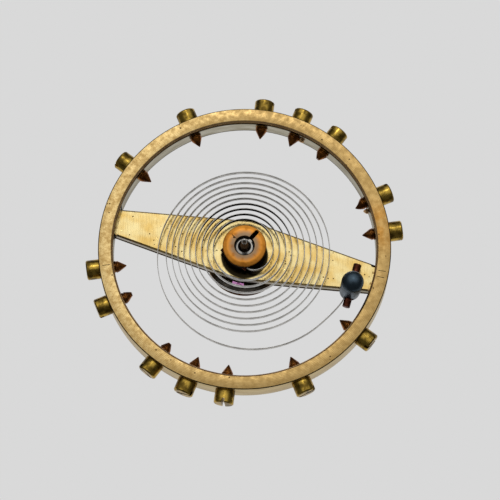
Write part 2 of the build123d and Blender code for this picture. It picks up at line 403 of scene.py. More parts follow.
class Nodes:
    """A node tree in the making, with the sums that looks are made of."""

    def __init__(self, tree: bpy.types.NodeTree) -> None:
        """Take over a tree and empty it.

        Args:
            tree: The tree.
        """
        self.tree = tree
        self.tree.nodes.clear()

    def sum(
        self, operation: str, *inputs: object, kind: str = "ShaderNodeMath", output: int | str = 0
    ) -> Socket:
        """Work on numbers or vectors.

        Args:
            operation: The sum's name.
            inputs: The values or sockets that it works on.
            kind: The node's type: for numbers, or VECTOR_MATHS for vectors.
            output: Which of the node's outputs holds the result.

        Returns:
            The socket of the result.
        """
        node = add_node(self.tree, kind, dict(enumerate(inputs)), operation=operation)
        return node.outputs[output]

    def span(
        self, value: Socket, low: float, high: float, to_low: float = 0.0, to_high: float = 1.0
    ) -> Socket:
        """Stretch a value's range onto another, smoothly and without leaving it.

        Args:
            value: The value's socket.
            low: The value that gives to_low.
            high: The value that gives to_high.
            to_low: The result at low.
            to_high: The result at high.

        Returns:
            The socket of the result.
        """
        inputs = {"Value": value, "From Min": low, "From Max": high}
        inputs |= {"To Min": to_low, "To Max": to_high}
        node = add_node(self.tree, "ShaderNodeMapRange", inputs, interpolation_type="SMOOTHSTEP")
        return node.outputs[0]


class Bench(Nodes):
    """A material in the making: its shader, and places on the piece in millimetres."""

    def __init__(self, name: str) -> None:
        """Start a material.

        Args:
            name: The material's name.
        """
        self.material = bpy.data.materials.new(name)
        self.material.use_nodes = True
        super().__init__(self.material.node_tree)
        self.shader = add_node(self.tree, "ShaderNodeBsdfPrincipled")
        add_node(self.tree, "ShaderNodeOutputMaterial", {"Surface": self.shader.outputs[0]})
        places = add_node(self.tree, "ShaderNodeTexCoord").outputs["Object"]
        self.place = self.sum("MULTIPLY", places, (TO_MM,) * 3, kind=VECTOR_MATHS)
        flat = self.sum("MULTIPLY", self.place, (1.0, 1.0, 0.0), kind=VECTOR_MATHS)
        self.radius = self.sum("LENGTH", flat, kind=VECTOR_MATHS, output="Value")

    def axis(self, name: str) -> Socket:
        """A place's X, Y or Z, in millimetres."""
        return add_node(self.tree, "ShaderNodeSeparateXYZ", {0: self.place}).outputs[name]

    def distance(self, centre: Corner) -> Socket:
        """How far a place is from a centre, in millimetres."""
        return self.sum("DISTANCE", self.place, centre, kind=VECTOR_MATHS, output="Value")

    def grain(self, size: Corner, turn: float = 0.0, detail: float = 3.0) -> Socket:
        """An uneven pattern of a real size.

        Args:
            size: The pattern's size along three axes, in millimetres.
            turn: How far the axes are turned about the staff, in degrees.
            detail: How many finer layers the pattern has.

        Returns:
            The socket of the pattern's value, about a half on average.
        """
        inputs = {"Vector": self.place, "Angle": math.radians(-turn)}
        turned = add_node(self.tree, "ShaderNodeVectorRotate", inputs, rotation_type="Z_AXIS")
        scale = tuple(1 / length for length in size)
        scaled = self.sum("MULTIPLY", turned.outputs[0], scale, kind=VECTOR_MATHS)
        inputs = {"Vector": scaled, "Scale": 1.0, "Detail": detail}
        return add_node(self.tree, "ShaderNodeTexNoise", inputs).outputs["Fac"]

    def turning_marks(self, spacing: float) -> Socket:
        """Fine, slightly wavy rings round the staff's axis, as a cutting tool leaves them.

        Args:
            spacing: How far apart they lie, in millimetres.

        Returns:
            The socket of a value that swings between minus one and one.
        """
        turns = self.sum("MULTIPLY", self.radius, 2 * math.pi / spacing)
        waver = self.sum("MULTIPLY", self.grain(WAVER_SIZE), WAVER_SHIFT)
        return self.sum("SINE", self.sum("ADD", turns, waver))

    def pits(self, spacing: float, radius: float) -> Socket:
        """Small round pits, in patches.

        Args:
            spacing: How far apart they lie, in millimetres.
            radius: A pit's radius, in millimetres.

        Returns:
            The socket of a value that is one in a pit and nought elsewhere.
        """
        inputs = {"Vector": self.place, "Scale": 1 / spacing}
        cells = add_node(self.tree, "ShaderNodeTexVoronoi", inputs).outputs["Distance"]
        near = self.span(cells, radius / spacing / 2, radius / spacing, 1.0, 0.0)
        patch_size = (spacing * PATCH_SPACINGS,) * 3
        patches = self.span(self.grain(patch_size, detail=1.0), *PATCH_EDGE)
        return self.sum("MULTIPLY", near, patches)

    def coat(self, base: str | Socket, *layers: tuple[Socket, str | Socket]) -> Socket:
        """Lay colours over one another.

        Args:
            base: The lowest colour, as hex or a socket.
            layers: Each further layer's share and colour, from the lowest up.

        Returns:
            The socket of the colour that shows.
        """
        for share, layer in layers:
            both = [linear(part) if isinstance(part, str) else part for part in (base, layer)]
            inputs = {0: share, 6: both[0], 7: both[1]}
            base = add_node(self.tree, "ShaderNodeMix", inputs, data_type="RGBA").outputs[2]
        return base

    def relief(self, value: Socket, depth: float, strength: float) -> None:
        """Let a pattern raise and lower the surface.

        Args:
            value: The pattern's socket.
            depth: How deep it goes, in millimetres.
            strength: How strongly it tilts the light, from nought to one.
        """
        inputs = {"Height": value, "Distance": depth * MM, "Strength": strength}
        before = self.shader.inputs["Normal"].links
        if before:
            inputs["Normal"] = before[0].from_socket
        bump = add_node(self.tree, "ShaderNodeBump", inputs)
        self.shade({"Normal": bump.outputs[0]})

    def shade(self, inputs: Mapping[str, object]) -> None:
        """Link or set some of the shader's inputs, by name."""
        for name, value in inputs.items():
            put(self.tree, self.shader.inputs[name], value)


@dataclass(frozen=True)
class GiltBrassArm:
    """Gilt brass, stoned across the crossbar: a bright yellow satin with fine darker streaks.

    It is pitted here and there. Nearer the staff it has dark specks, painted shade for the coils'
    shadows and reflections, and beside the collet, further to one side, a black patch that is the
    collet's painted shadow and reflection.
    """

    bright: str = "#F8E4A6"
    dull: str = "#E8C270"
    streak: str = "#8E7238"
    pit: str = "#6A4E20"
    painted_shade_speck: str = "#7C683A"
    painted_collet_shadow: str = "#241E12"
    cloud_size: Corner = (1.3, 0.9, 1.0)
    # Real stoning is finer, and is drawn coarser so that it shows at the photograph's scale
    streak_size: Corner = (1.1, 0.06, 1.0)
    streak_turn: float = 101.0
    streak_range: Point = (0.5, 0.78)
    streak_share: float = 0.7
    # Spacing and radius
    pits: Point = (0.28, 0.05)
    painted_shade_specks: Point = (0.15, 0.05)
    # Painted shade for the coils' shadows and reflections: dark specks that fade out between these
    # distances from the staff
    painted_shade_speck_radii: Point = (1.8, 4.4)
    painted_shade_speck_share: float = 0.7
    # The collet's painted shadow and reflection: black round this centre, fading out between these
    # radii
    collet_shadow_centre: Corner = (0.087, -0.38, 0.1)
    collet_shadow_radii: Point = (1.4, 1.5)
    gloss_range: Point = (0.3, 0.75)
    roughness: Point = (0.13, 0.29)

    def material(self) -> bpy.types.Material:
        """Make the material.

        Returns:
            The material.
        """
        bench = Bench("gilt_brass_stoned")
        streaks = bench.grain(self.streak_size, self.streak_turn, detail=4.0)
        pits = bench.pits(*self.pits)
        near_staff = bench.span(bench.radius, *self.painted_shade_speck_radii, self.painted_shade_speck_share, 0.0)
        colour = bench.coat(
            self.bright,
            (bench.span(bench.grain(self.cloud_size, detail=2.0), *CLOUD), self.dull),
            (bench.span(streaks, *self.streak_range, 0.0, self.streak_share), self.streak),
            # Painted shade near the staff, for the coils' shadows and reflections
            (bench.sum("MULTIPLY", bench.pits(*self.painted_shade_specks), near_staff), self.painted_shade_speck),
            (pits, self.pit),
            # The collet's painted shadow and reflection on the arm
            (bench.span(bench.distance(self.collet_shadow_centre), *self.collet_shadow_radii, 1.0, 0.0), self.painted_collet_shadow),
        )
        roughness = bench.span(streaks, *self.gloss_range, *self.roughness)
        bench.shade({"Base Color": colour, "Roughness": roughness, "Metallic": 1.0})
        bench.relief(streaks, depth=0.01, strength=0.3)
        bench.relief(bench.sum("SUBTRACT", 0.0, pits), depth=0.02, strength=0.6)
        return bench.material


@dataclass(frozen=True)
class GiltBrassRim:
    """Gilt brass, turned and then worn: a tan satin with a fine mottle and small pits.

    It is browner towards one side, and a warm stain lies near one end of the crossbar.
    """

    bright: str = "#DCC186"
    dull: str = "#C4A264"
    mottle: str = "#A8824A"
    browner_side: str = "#B09058"
    stain: str = "#B67C2C"
    pit: str = "#4A3218"
    cloud_size: Corner = (0.3, 0.3, 0.3)
    cloud_range: Point = (0.3, 0.72)
    mottle_size: Corner = (0.09, 0.09, 0.09)
    mottle_range: Point = (0.5, 0.7)
    mottle_share: float = 0.6
    # Between these places along X the rim turns browner, up to its share
    browner_reach: Point = (-9.0, 1.0)
    browner_share: float = 0.8
    stain_radius: float = 8.5
    stain_direction: float = 22.0
    stain_reach: Point = (0.4, 2.4)
    stain_share: float = 0.8
    stain_cloud_size: Corner = (0.6, 0.6, 0.6)
    stain_cloud_range: Point = (0.35, 0.65)
    stain_cloud_shares: Point = (0.35, 1.0)
    # Spacing and radius
    pits: Point = (0.4, 0.06)
    ring_spacing: float = 0.09
    roughness: Point = (0.31, 0.46)

    def material(self) -> bpy.types.Material:
        """Make the material.

        Returns:
            The material.
        """
        bench = Bench("gilt_brass_turned")
        cloud = bench.grain(self.cloud_size, detail=4.0)
        mottle = bench.grain(self.mottle_size, detail=2.0)
        pits = bench.pits(*self.pits)
        centre = tuple(polar(self.stain_radius, self.stain_direction))
        near = bench.span(bench.distance(centre), *self.stain_reach, self.stain_share, 0.0)
        stain_cloud = bench.grain(self.stain_cloud_size)
        uneven = bench.span(stain_cloud, *self.stain_cloud_range, *self.stain_cloud_shares)
        towards_browner = bench.span(bench.axis("X"), *self.browner_reach, 0.0, self.browner_share)
        colour = bench.coat(
            self.bright,
            (bench.span(cloud, *self.cloud_range), self.dull),
            (bench.span(mottle, *self.mottle_range, 0.0, self.mottle_share), self.mottle),
            (towards_browner, self.browner_side),
            (bench.sum("MULTIPLY", near, uneven), self.stain),
            (pits, self.pit),
        )
        roughness = bench.span(cloud, *CLOUD, *self.roughness)
        bench.shade({"Base Color": colour, "Roughness": roughness, "Metallic": 1.0})
        bench.relief(bench.turning_marks(self.ring_spacing), depth=0.0025, strength=0.25)
        bench.relief(bench.sum("SUBTRACT", cloud, pits), depth=0.012, strength=0.4)
        return bench.material


@dataclass(frozen=True)
class BareWalls:
    """Brass walls where the gilding has worn and greyed: silvery, with dark brown bands of painted
    shade and painted dark reflection.

    Each dark band is given by the height where it sets in and the height where it is full.
    """

    name: str
    dark_bands: Sequence[Point]
    pale: str = "#DCD8CA"
    dull: str = "#BEB8A6"
    dark: str = "#2C2014"
    grazing: str = "#C8C4BC"
    cloud_size: Corner = (1.2, 1.2, 0.5)
    roughness: float = 0.3

    def material(self) -> bpy.types.Material:
        """Make the material.

        Returns:
            The material.
        """
        bench = Bench(self.name)
        cloud = bench.grain(self.cloud_size)
        height = bench.axis("Z")
        # Painted shade and dark reflection, in bands near the walls' top and foot
        shaded = bench.span(height, *self.dark_bands[0])
        for band in self.dark_bands[1:]:
            shaded = bench.sum("MAXIMUM", shaded, bench.span(height, *band))
        colour = bench.coat(
            self.pale, (bench.span(cloud, *CLOUD), self.dull), (shaded, self.dark)
        )
        bench.shade({"Base Color": colour, "Roughness": self.roughness, "Metallic": 1.0})
        bench.shade({"Specular Tint": linear(self.grazing)})
        bench.relief(cloud, depth=0.01, strength=0.2)
        return bench.material


@dataclass(frozen=True)
class DarkRecess:
    """Painted shade for metal in a narrow recess, also used for the rim's dark seams: a nearly
    black, dull brown with patches of dirt.
    """

    name: str = "brass_painted_shade"
    colour: str = "#241708"
    crust: str = "#120A04"
    grazing: str = "#806040"
    dirt_size: Corner = (0.12, 0.12, 0.12)
    dirt_range: Point = (0.35, 0.65)
    roughness: float = 0.6
    # Half metal, which keeps the painted shade dull
    metallic: float = 0.5

    def material(self) -> bpy.types.Material:
        """Make the material.

        Returns:
            The material.
        """
        bench = Bench(self.name)
        dirt = bench.grain(self.dirt_size)
        colour = bench.coat(self.colour, (bench.span(dirt, *self.dirt_range), self.crust))
        bench.shade({"Base Color": colour, "Roughness": self.roughness, "Metallic": self.metallic})
        bench.shade({"Specular Tint": linear(self.grazing)})
        bench.relief(dirt, depth=0.01, strength=0.4)
        return bench.material


@dataclass(frozen=True)
class TurnedMetal:
    """A metal turned on a lathe: fine rings catch the light, and tarnish lies in uneven patches."""

    name: str
    bright: str
    tarnish: str
    tarnish_share: float
    tarnish_size: float
    roughness: float
    ring_spacing: float = 0.06
    ring_depth: float = 0.003
    grazing: str = "#FFFFFF"
    tarnish_range: Point = (0.38, 0.68)
    # How much rougher the dullest places are
    dulling: float = 0.12

    def material(self) -> bpy.types.Material:
        """Make the material.

        Returns:
            The material.
        """
        bench = Bench(self.name)
        cloud = bench.grain((self.tarnish_size,) * 3, detail=4.0)
        share = bench.span(cloud, *self.tarnish_range, 0.0, self.tarnish_share)
        roughness = bench.span(cloud, *CLOUD, self.roughness, self.roughness + self.dulling)
        colour = bench.coat(self.bright, (share, self.tarnish))
        bench.shade({"Base Color": colour, "Roughness": roughness, "Metallic": 1.0})
        bench.shade({"Specular Tint": linear(self.grazing)})
        bench.relief(bench.turning_marks(self.ring_spacing), self.ring_depth, strength=0.3)
        bench.relief(cloud, depth=0.01, strength=0.2)
        return bench.material


@dataclass(frozen=True)
class ScrewBrass:
    """Screw brass, turned and left to darken: olive gold heads, and red-brown points inside."""

    head: str = "#C2A046"
    head_tarnish: str = "#4E3C16"
    point: str = "#A0642C"
    point_tarnish: str = "#3C1E0C"
    # The distances from the staff between which the point's colour gives way to the head's
    point_ends: Point = (8.05, 8.15)
    cloud_size: Corner = (0.4, 0.4, 0.4)
    tarnish_range: Point = (0.36, 0.66)
    tarnish_share: float = 0.85
    ring_spacing: float = 0.09
    roughness: Point = (0.24, 0.38)

    def material(self) -> bpy.types.Material:
        """Make the material.

        Returns:
            The material.
        """
        bench = Bench("screw_brass_turned")
        cloud = bench.grain(self.cloud_size, detail=4.0)
        outside = bench.span(bench.radius, *self.point_ends)
        clean = bench.coat(self.point, (outside, self.head))
        tarnished = bench.coat(self.point_tarnish, (outside, self.head_tarnish))
        share = bench.span(cloud, *self.tarnish_range, 0.0, self.tarnish_share)
        roughness = bench.span(cloud, *CLOUD, *self.roughness)
        colour = bench.coat(clean, (share, tarnished))
        bench.shade({"Base Color": colour, "Roughness": roughness, "Metallic": 1.0})
        bench.relief(bench.turning_marks(self.ring_spacing), depth=0.003, strength=0.3)
        bench.relief(cloud, depth=0.02, strength=0.3)
        return bench.material


@dataclass(frozen=True)
class ColletBronze:
    """Tin bronze, turned: grey-beige on the worn flat near the staff, deep orange on the edge."""

    flat: str = "#8E7458"
    edge: str = "#D28A34"
    tarnish: str = "#8A4C18"
    # The radii between which the flat gives way to the edge
    edge_radii: Point = (0.7, 1.1)
    waver: Point = (-0.05, 0.05)
    cloud_size: Corner = (0.35, 0.35, 0.35)
    tarnish_range: Point = (0.5, 0.75)
    tarnish_share: float = 0.5
    ring_spacing: float = 0.05
    roughness: Point = (0.36, 0.46)

    def material(self) -> bpy.types.Material:
        """Make the material.

        Returns:
            The material.
        """
        bench = Bench("bronze_turned")
        cloud = bench.grain(self.cloud_size)
        outwards = bench.sum("ADD", bench.radius, bench.span(cloud, *CLOUD, *self.waver))
        colour = bench.coat(
            self.flat,
            (bench.span(outwards, *self.edge_radii), self.edge),
            (bench.span(cloud, *self.tarnish_range, 0.0, self.tarnish_share), self.tarnish),
        )
        roughness = bench.span(cloud, *CLOUD, *self.roughness)
        bench.shade({"Base Color": colour, "Roughness": roughness, "Metallic": 1.0})
        bench.relief(bench.turning_marks(self.ring_spacing), depth=0.002, strength=0.3)
        return bench.material


@dataclass(frozen=True)
class Ruby:
    """Synthetic ruby, polished: light from behind comes through it pink and violet."""

    body: str = "#FFB2F4"
    depth: str = "#E080D8"
    cloud_size: Corner = (0.4, 0.4, 0.4)
    depth_share: float = 0.25
    ior: float = 1.77
    roughness: float = 0.04
    transmission: float = 0.85

    def material(self) -> bpy.types.Material:
        """Make the material.

        Returns:
            The material.
        """
        bench = Bench("ruby_polished")
        cloud = bench.grain(self.cloud_size, detail=2.0)
        share = bench.span(cloud, *CLOUD, 0.0, self.depth_share)
        bench.shade({"Base Color": bench.coat(self.body, (share, self.depth)), "IOR": self.ior})
        bench.shade({"Roughness": self.roughness, "Transmission Weight": self.transmission})
        return bench.material


Finish = GiltBrassArm | GiltBrassRim | BareWalls | TurnedMetal | DarkRecess

# Brass on the rim's inner bevels, tarnished to a brown where no cloth reaches
BEVEL_BRASS = TurnedMetal(
    "bevel_brass_tarnished", "#F2C890", "#B48C60", 0.7, 0.6, 0.3, 0.08, 0.002
)
# Hard steel, polished: the staff's shoulder mirrors the sky, and its arbor looks dark beside it
STAFF_STEEL = TurnedMetal(
    "staff_steel_polished", "#C4C0B8", "#7C7876", 0.4, 0.5, 0.14, 0.07, 0.001
)
# Hard steel, polished, with its colour darkened as painted shade and a brass grazing tint that is a
# painted reflection of the brass: the rollers look black where they mirror the shade
ROLLER_STEEL = TurnedMetal(
    "roller_steel_polished", "#4A4640", "#262420", 0.6, 0.8, 0.2, 0.08, 0.001, "#A08C60"
)
# Carbon steel, blued by heat and dulled: a dark slate with a faint blue-green sheen
STUD_STEEL = TurnedMetal(
    "stud_steel_blued", "#4C5C68", "#2A3230", 0.55, 0.7, 0.34, 0.08, 0.002
)
# Spring steel strip, rolled: grey with a satin side
STRIP_STEEL = TurnedMetal(
    "strip_steel_rolled", "#D2D0CC", "#A09E9A", 0.4, 0.6, 0.34, 0.11, 0.0005
)
# The same strip's inner side near the collet, nearly black: painted shade
STRIP_PAINTED_SHADE = TurnedMetal(
    "strip_steel_painted_shade", "#34302E", "#1C1A1A", 0.6, 0.6, 0.4, 0.11, 0.0005, "#504C4A"
)
# Drawn brass, oxidised: the wedged pins are a dull red brown
PIN_BRASS = TurnedMetal(
    "pin_brass_oxidised", "#663626", "#341A10", 0.7, 0.3, 0.38, 0.07, 0.003
)


def dress(
    made: Piece,
    materials: Sequence[bpy.types.Material],
    node: str,
    smooth_to: float = 32.0,
    chosen: Sequence[int] | None = None,
) -> Piece:
    """Finish a piece: its size in metres, its shading, its materials, and hide the node it stands
    for.

    Args:
        made: The piece, in millimetres.
        materials: Its materials.
        node: The node of the frame that it stands for.
        smooth_to: The largest angle between faces that still shades smoothly, in degrees.
        chosen: Which of the materials each face gets, where it isn't always the first.

    Returns:
        The piece.
    """
    made.data.transform(Matrix.Scale(MM, 4))
    made.data.shade_smooth()
    made.data.set_sharp_from_angle(angle=math.radians(smooth_to))
    made.data.materials.clear()
    for material in materials:
        made.data.materials.append(material)
    if chosen is not None:
        made.data.polygons.foreach_set("material_index", chosen)
    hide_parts(node)
    return made


def report(made: Piece) -> None:
    """Say which piece was made and how large it is."""
    size = " x ".join(f"{length * TO_MM:.2f}" for length in made.dimensions)
    LOG.info("%s: %s mm, %d faces", made.name, size, len(made.data.polygons))


@dataclass
class BalanceWheel:
    """The wheel: a solid rim with one crossbar, drilled for the staff and the timing screws."""

    screw_directions: Sequence[float]
    rim_width: float = 0.9
    inner_bevel: float = 0.12
    outer_bevel: float = 0.05
    edge_rounding: float = 0.012
    bar_thickness: float = 0.92
    bar_half_width_at_staff: float = 1.93
    bar_half_width_at_rim: float = 0.84
    bar_edge_bevel: float = 0.1
    bar_under_bevel: float = 0.18
    end_step_width: float = 0.13
    end_step_depth: float = 0.06
    # The pits where the crossbar's sides meet the rim
    relief_radius: float = 0.07
    deep_relief_radius: float = 0.14
    deep_relief_inset: float = 0.13
    relief_depth: float = 0.12
    # Each burr's direction, distance from the rim's inner wall and rough radius
    burrs: Sequence[Corner] = ((31.5, 0.14, 0.18), (76.8, 0.06, 0.2))
    # A burr's mean radius as a share of the rough one, and the depth and direction of its waves
    burr_mean: float = 0.88
    burr_waves: Sequence[tuple[float, Corner]] = (
        (0.14, (4.0, 0.0, 3.0)),
        (0.1, (-3.0, 6.0, 0.0)),
    )
    staff_hole_radius: float = 0.8
    screw_hole_radius: float = 0.38
    seam_width: float = 0.035
    seam_depth: float = 0.02
    seam_length: float = 0.495
    seam_directions: Sequence[float] = (-0.3, 2.4, 200.8)
    rim_steps: int = 360
    # Where painted shade sets in on the walls and where it is full: below the top, then above the
    # foot
    rim_shade_below_top: Point = (0.42, 0.3)
    rim_shade_above_foot: Point = (0.26, 0.16)
    outer_shade_above_foot: Point = (0.05, 0.0)
    arm_shade_above_foot: Point = (0.5, 0.44)
    # How faces are told apart: by their normal's height, and by distances from walls and pits
    upright: float = 0.3
    level: float = 0.95
    wall_slack: float = 0.03
    burr_slack: float = 0.01
    reach_factor: float = 1.1
    burr_reach_factor: float = 1.2
    # The shares of a pit's and of a seam's depth between which faces belong to them
    pit_shares: Point = (0.25, 1.1)
    seam_shares: Point = (0.2, 1.5)

    def __post_init__(self) -> None:
        """Take the rim's place from the frame."""
        self.low, self.high = heights("balance_wheel")
        self.outer = outer_radius("balance_wheel")
        self.inner = self.outer - self.rim_width
        self.bar_top = self.low + self.bar_thickness
        self.reliefs = [(corner, self.relief_radius) for corner in self.bar_corners()]
        deep = self.reliefs[0][0]
        inwards = 1 - self.deep_relief_inset / deep.length
        self.reliefs[0] = (deep * inwards, self.deep_relief_radius)
        self.burr_places = [
            (polar(self.inner - inset, turn), size) for turn, inset, size in self.burrs
        ]

    def half_width(self, x: float) -> float:
        """Half of the crossbar's width at a distance from the staff."""
        taper = (self.bar_half_width_at_staff - self.bar_half_width_at_rim) / self.inner
        return self.bar_half_width_at_staff - taper * x

    def bar_corners(self) -> list[Vector]:
        """Where the crossbar's long sides meet the rim's inner wall.

        Returns:
            The four places, at the height of nought.
        """
        across = self.half_width(self.inner)
        outwards = math.sqrt(self.inner**2 - across**2)
        return [Vector((x, y, 0)) for x in (outwards, -outwards) for y in (across, -across)]

    def rim(self) -> Solid:
        """The rim's ring, bevelled on its four edges.

        Returns:
            The solid.
        """
        fine = self.edge_rounding
        corners = []
        for x, y, across, up, bevel in (
            (self.inner, self.low, 1, 1, self.inner_bevel),
            (self.outer, self.low, -1, 1, self.outer_bevel),
            (self.outer, self.high, -1, -1, self.outer_bevel),
            (self.inner, self.high, 1, -1, self.inner_bevel),
        ):
            ends = [(x, y + up * bevel, fine), (x + across * bevel, y, fine)]
            corners += ends if across * up > 0 else ends[::-1]
        return lathe(rounded(corners, closed=True, arc_steps=2), self.rim_steps, closed=True)

    def crossbar(self) -> Solid:
        """The crossbar with its long edges bevelled above and below.

        Returns:
            The solid.
        """
        end = self.outer - self.rim_width / 2
        wide = self.half_width(end)
        middle = self.bar_half_width_at_staff
        outline = [(end, wide), (0, middle), (-end, wide)]
        outline += [(-x, -y) for x, y in outline]
        bar = prism(outline, self.low, self.bar_top)
        sides = (self.bar_top, self.bar_edge_bevel), (self.low, self.bar_under_bevel)
        for height, bevel in sides:
            long_edges = [
                edge for edge in bar.edges
                if all(abs(vert.co.z - height) < OVERRUN / 2 for vert in edge.verts)
                and edge.calc_length() > self.inner / 2
            ]
            bmesh.ops.bevel(bar, geom=long_edges, offset=bevel, segments=1, affect="EDGES")
        return bar

    def end_steps(self) -> Solid:
        """What is turned off the crossbar's top just inside the rim.

        Returns:
            The cutter.
        """
        inside = self.inner - self.end_step_width
        foot, top = self.bar_top - self.end_step_depth, self.bar_top + OVERRUN
        section = [(inside, foot), (self.outer, foot), (self.outer, top), (inside, top)]
        return lathe(section, self.rim_steps, closed=True)

    def burr(self, place: Vector, size: float) -> Solid:
        """A ragged lump of brass and dirt that the thread's cutting left on the inner wall.

        Args:
            place: Its middle.
            size: Its rough radius.

        Returns:
            The solid.
        """
        lump = bmesh.new()
        bmesh.ops.create_icosphere(lump, subdivisions=3, radius=1.0)
        for vert in lump.verts:
            waves = (depth * math.sin(vert.co.dot(wave)) for depth, wave in self.burr_waves)
            vert.co *= size * (self.burr_mean + sum(waves))
        lump.transform(Matrix.Translation(place))
        return lump

    def cutters(self) -> list[Solid]:
        """What is drilled and cut out of the joined wheel.

        Returns:
            The cutters.
        """
        middle_radius = self.inner + self.rim_width / 2
        tall = Matrix.Translation((0, 0, (self.low + self.bar_top) / 2))
        through = self.bar_thickness + 2 * OVERRUN
        cutters = [rod(self.staff_hole_radius, through, tall, steps=96)]
        for corner, radius in self.reliefs:
            place = Matrix.Translation(corner + Vector((0, 0, self.bar_top)))
            cutters.append(rod(radius, 2 * self.relief_depth, place, steps=24))
        for direction in self.screw_directions:
            outwards = polar(1.0, direction)
            place = along(outwards, outwards * middle_radius)
            cutters.append(rod(self.screw_hole_radius, self.rim_width + 2 * OVERRUN, place))
        seam = (self.seam_length, self.seam_width, 2 * self.seam_depth)
        for direction in self.seam_directions:
            middle = Matrix.Translation((middle_radius, 0, self.high))
            cutters.append(block(seam, about_staff(direction) @ middle))
        return cutters

    def finishes(self) -> dict[Zone, Finish]:
        """The finish of each zone.

        Returns:
            The finishes, in the order of the wheel's materials.
        """
        below_top = tuple(self.high - depth for depth in self.rim_shade_below_top)
        rim_foot, outer_foot, arm_foot = (
            tuple(self.low + height for height in band)
            for band in (
                self.rim_shade_above_foot, self.outer_shade_above_foot, self.arm_shade_above_foot
            )
        )
        return {
            Zone.RIM: GiltBrassRim(),
            Zone.RIM_BEVEL: BEVEL_BRASS,
            Zone.ARM: GiltBrassArm(),
            Zone.RIM_WALL: BareWalls("brass_worn_rim_wall", [below_top, rim_foot]),
            Zone.OUTER_WALL: BareWalls(
                "brass_worn_outer_wall", [outer_foot], "#DCC898", "#C8B07C", grazing="#ECE8E2"
            ),
            Zone.ARM_WALL: BareWalls(
                "brass_worn_arm_wall", [arm_foot], pale="#DCD6D0", grazing="#B4B0A8"
            ),
            Zone.RECESS: DarkRecess(),
        }

    def zone(self, face: bpy.types.MeshPolygon) -> Zone:
        """Which part of the wheel a face belongs to.

        Args:
            face: The face, in millimetres.

        Returns:
            The zone whose finish it gets.
        """
        place, reach, tilt = face.center, face.center.xy.length, abs(face.normal.z)
        upright = tilt < self.upright
        pit_depth = (self.bar_top - place.z) / self.relief_depth
        in_pit = any(
            (place.xy - at.xy).length < self.reach_factor * size for at, size in self.reliefs
        )
        # The crossbar's corner pits get painted shade
        if self.pit_shares[0] < pit_depth < self.pit_shares[1] and in_pit:
            return Zone.RECESS
        on_burr = any(
            (place - at).length < self.burr_reach_factor * size for at, size in self.burr_places
        )
        if reach < self.inner - self.burr_slack and on_burr:
            return Zone.RIM_BEVEL
        seam_depth = (self.high - place.z) / self.seam_depth
        in_seam = self.seam_shares[0] < seam_depth < self.seam_shares[1]
        if in_seam and reach > self.inner + self.inner_bevel:
            return Zone.RECESS
        if upright and abs(reach - self.inner) < self.wall_slack:
            return Zone.RIM_WALL
        if upright and abs(reach - self.outer) < self.wall_slack:
            return Zone.OUTER_WALL
        if upright and self.staff_hole_radius * self.reach_factor < reach < self.inner:
            return Zone.ARM_WALL
        on_bevel = self.inner < reach < self.inner + self.inner_bevel
        if on_bevel and self.upright < tilt < self.level:
            return Zone.RIM_BEVEL
        beyond = reach > self.inner - self.end_step_width / 2
        return Zone.RIM if beyond or place.z > self.bar_top + OVERRUN else Zone.ARM

    def build(self) -> Piece:
        """Build and dress the wheel.

        Returns:
            The finished piece.
        """
        made = to_object(self.crossbar(), "balance_wheel_made")
        work(made, Cut.REMOVE, [self.end_steps()])
        work(made, Cut.JOIN, [self.rim()])
        work(made, Cut.REMOVE, self.cutters())
        work(made, Cut.JOIN, [self.burr(place, size) for place, size in self.burr_places])
        finishes = self.finishes()
        order = list(finishes)
        chosen = [order.index(self.zone(face)) for face in made.data.polygons]
        materials = [finish.material() for finish in finishes.values()]
        dress(made, materials, "balance_wheel", chosen=chosen)
        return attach(made, Body.BALANCE.value)


@dataclass(frozen=True)
class ScrewTip:
    """How one screw's point differs from a new one: its wear, and how far it leans sideways."""

    wear: TipWear = TipWear.SHARP
    lean: Point = (0.0, 0.0)


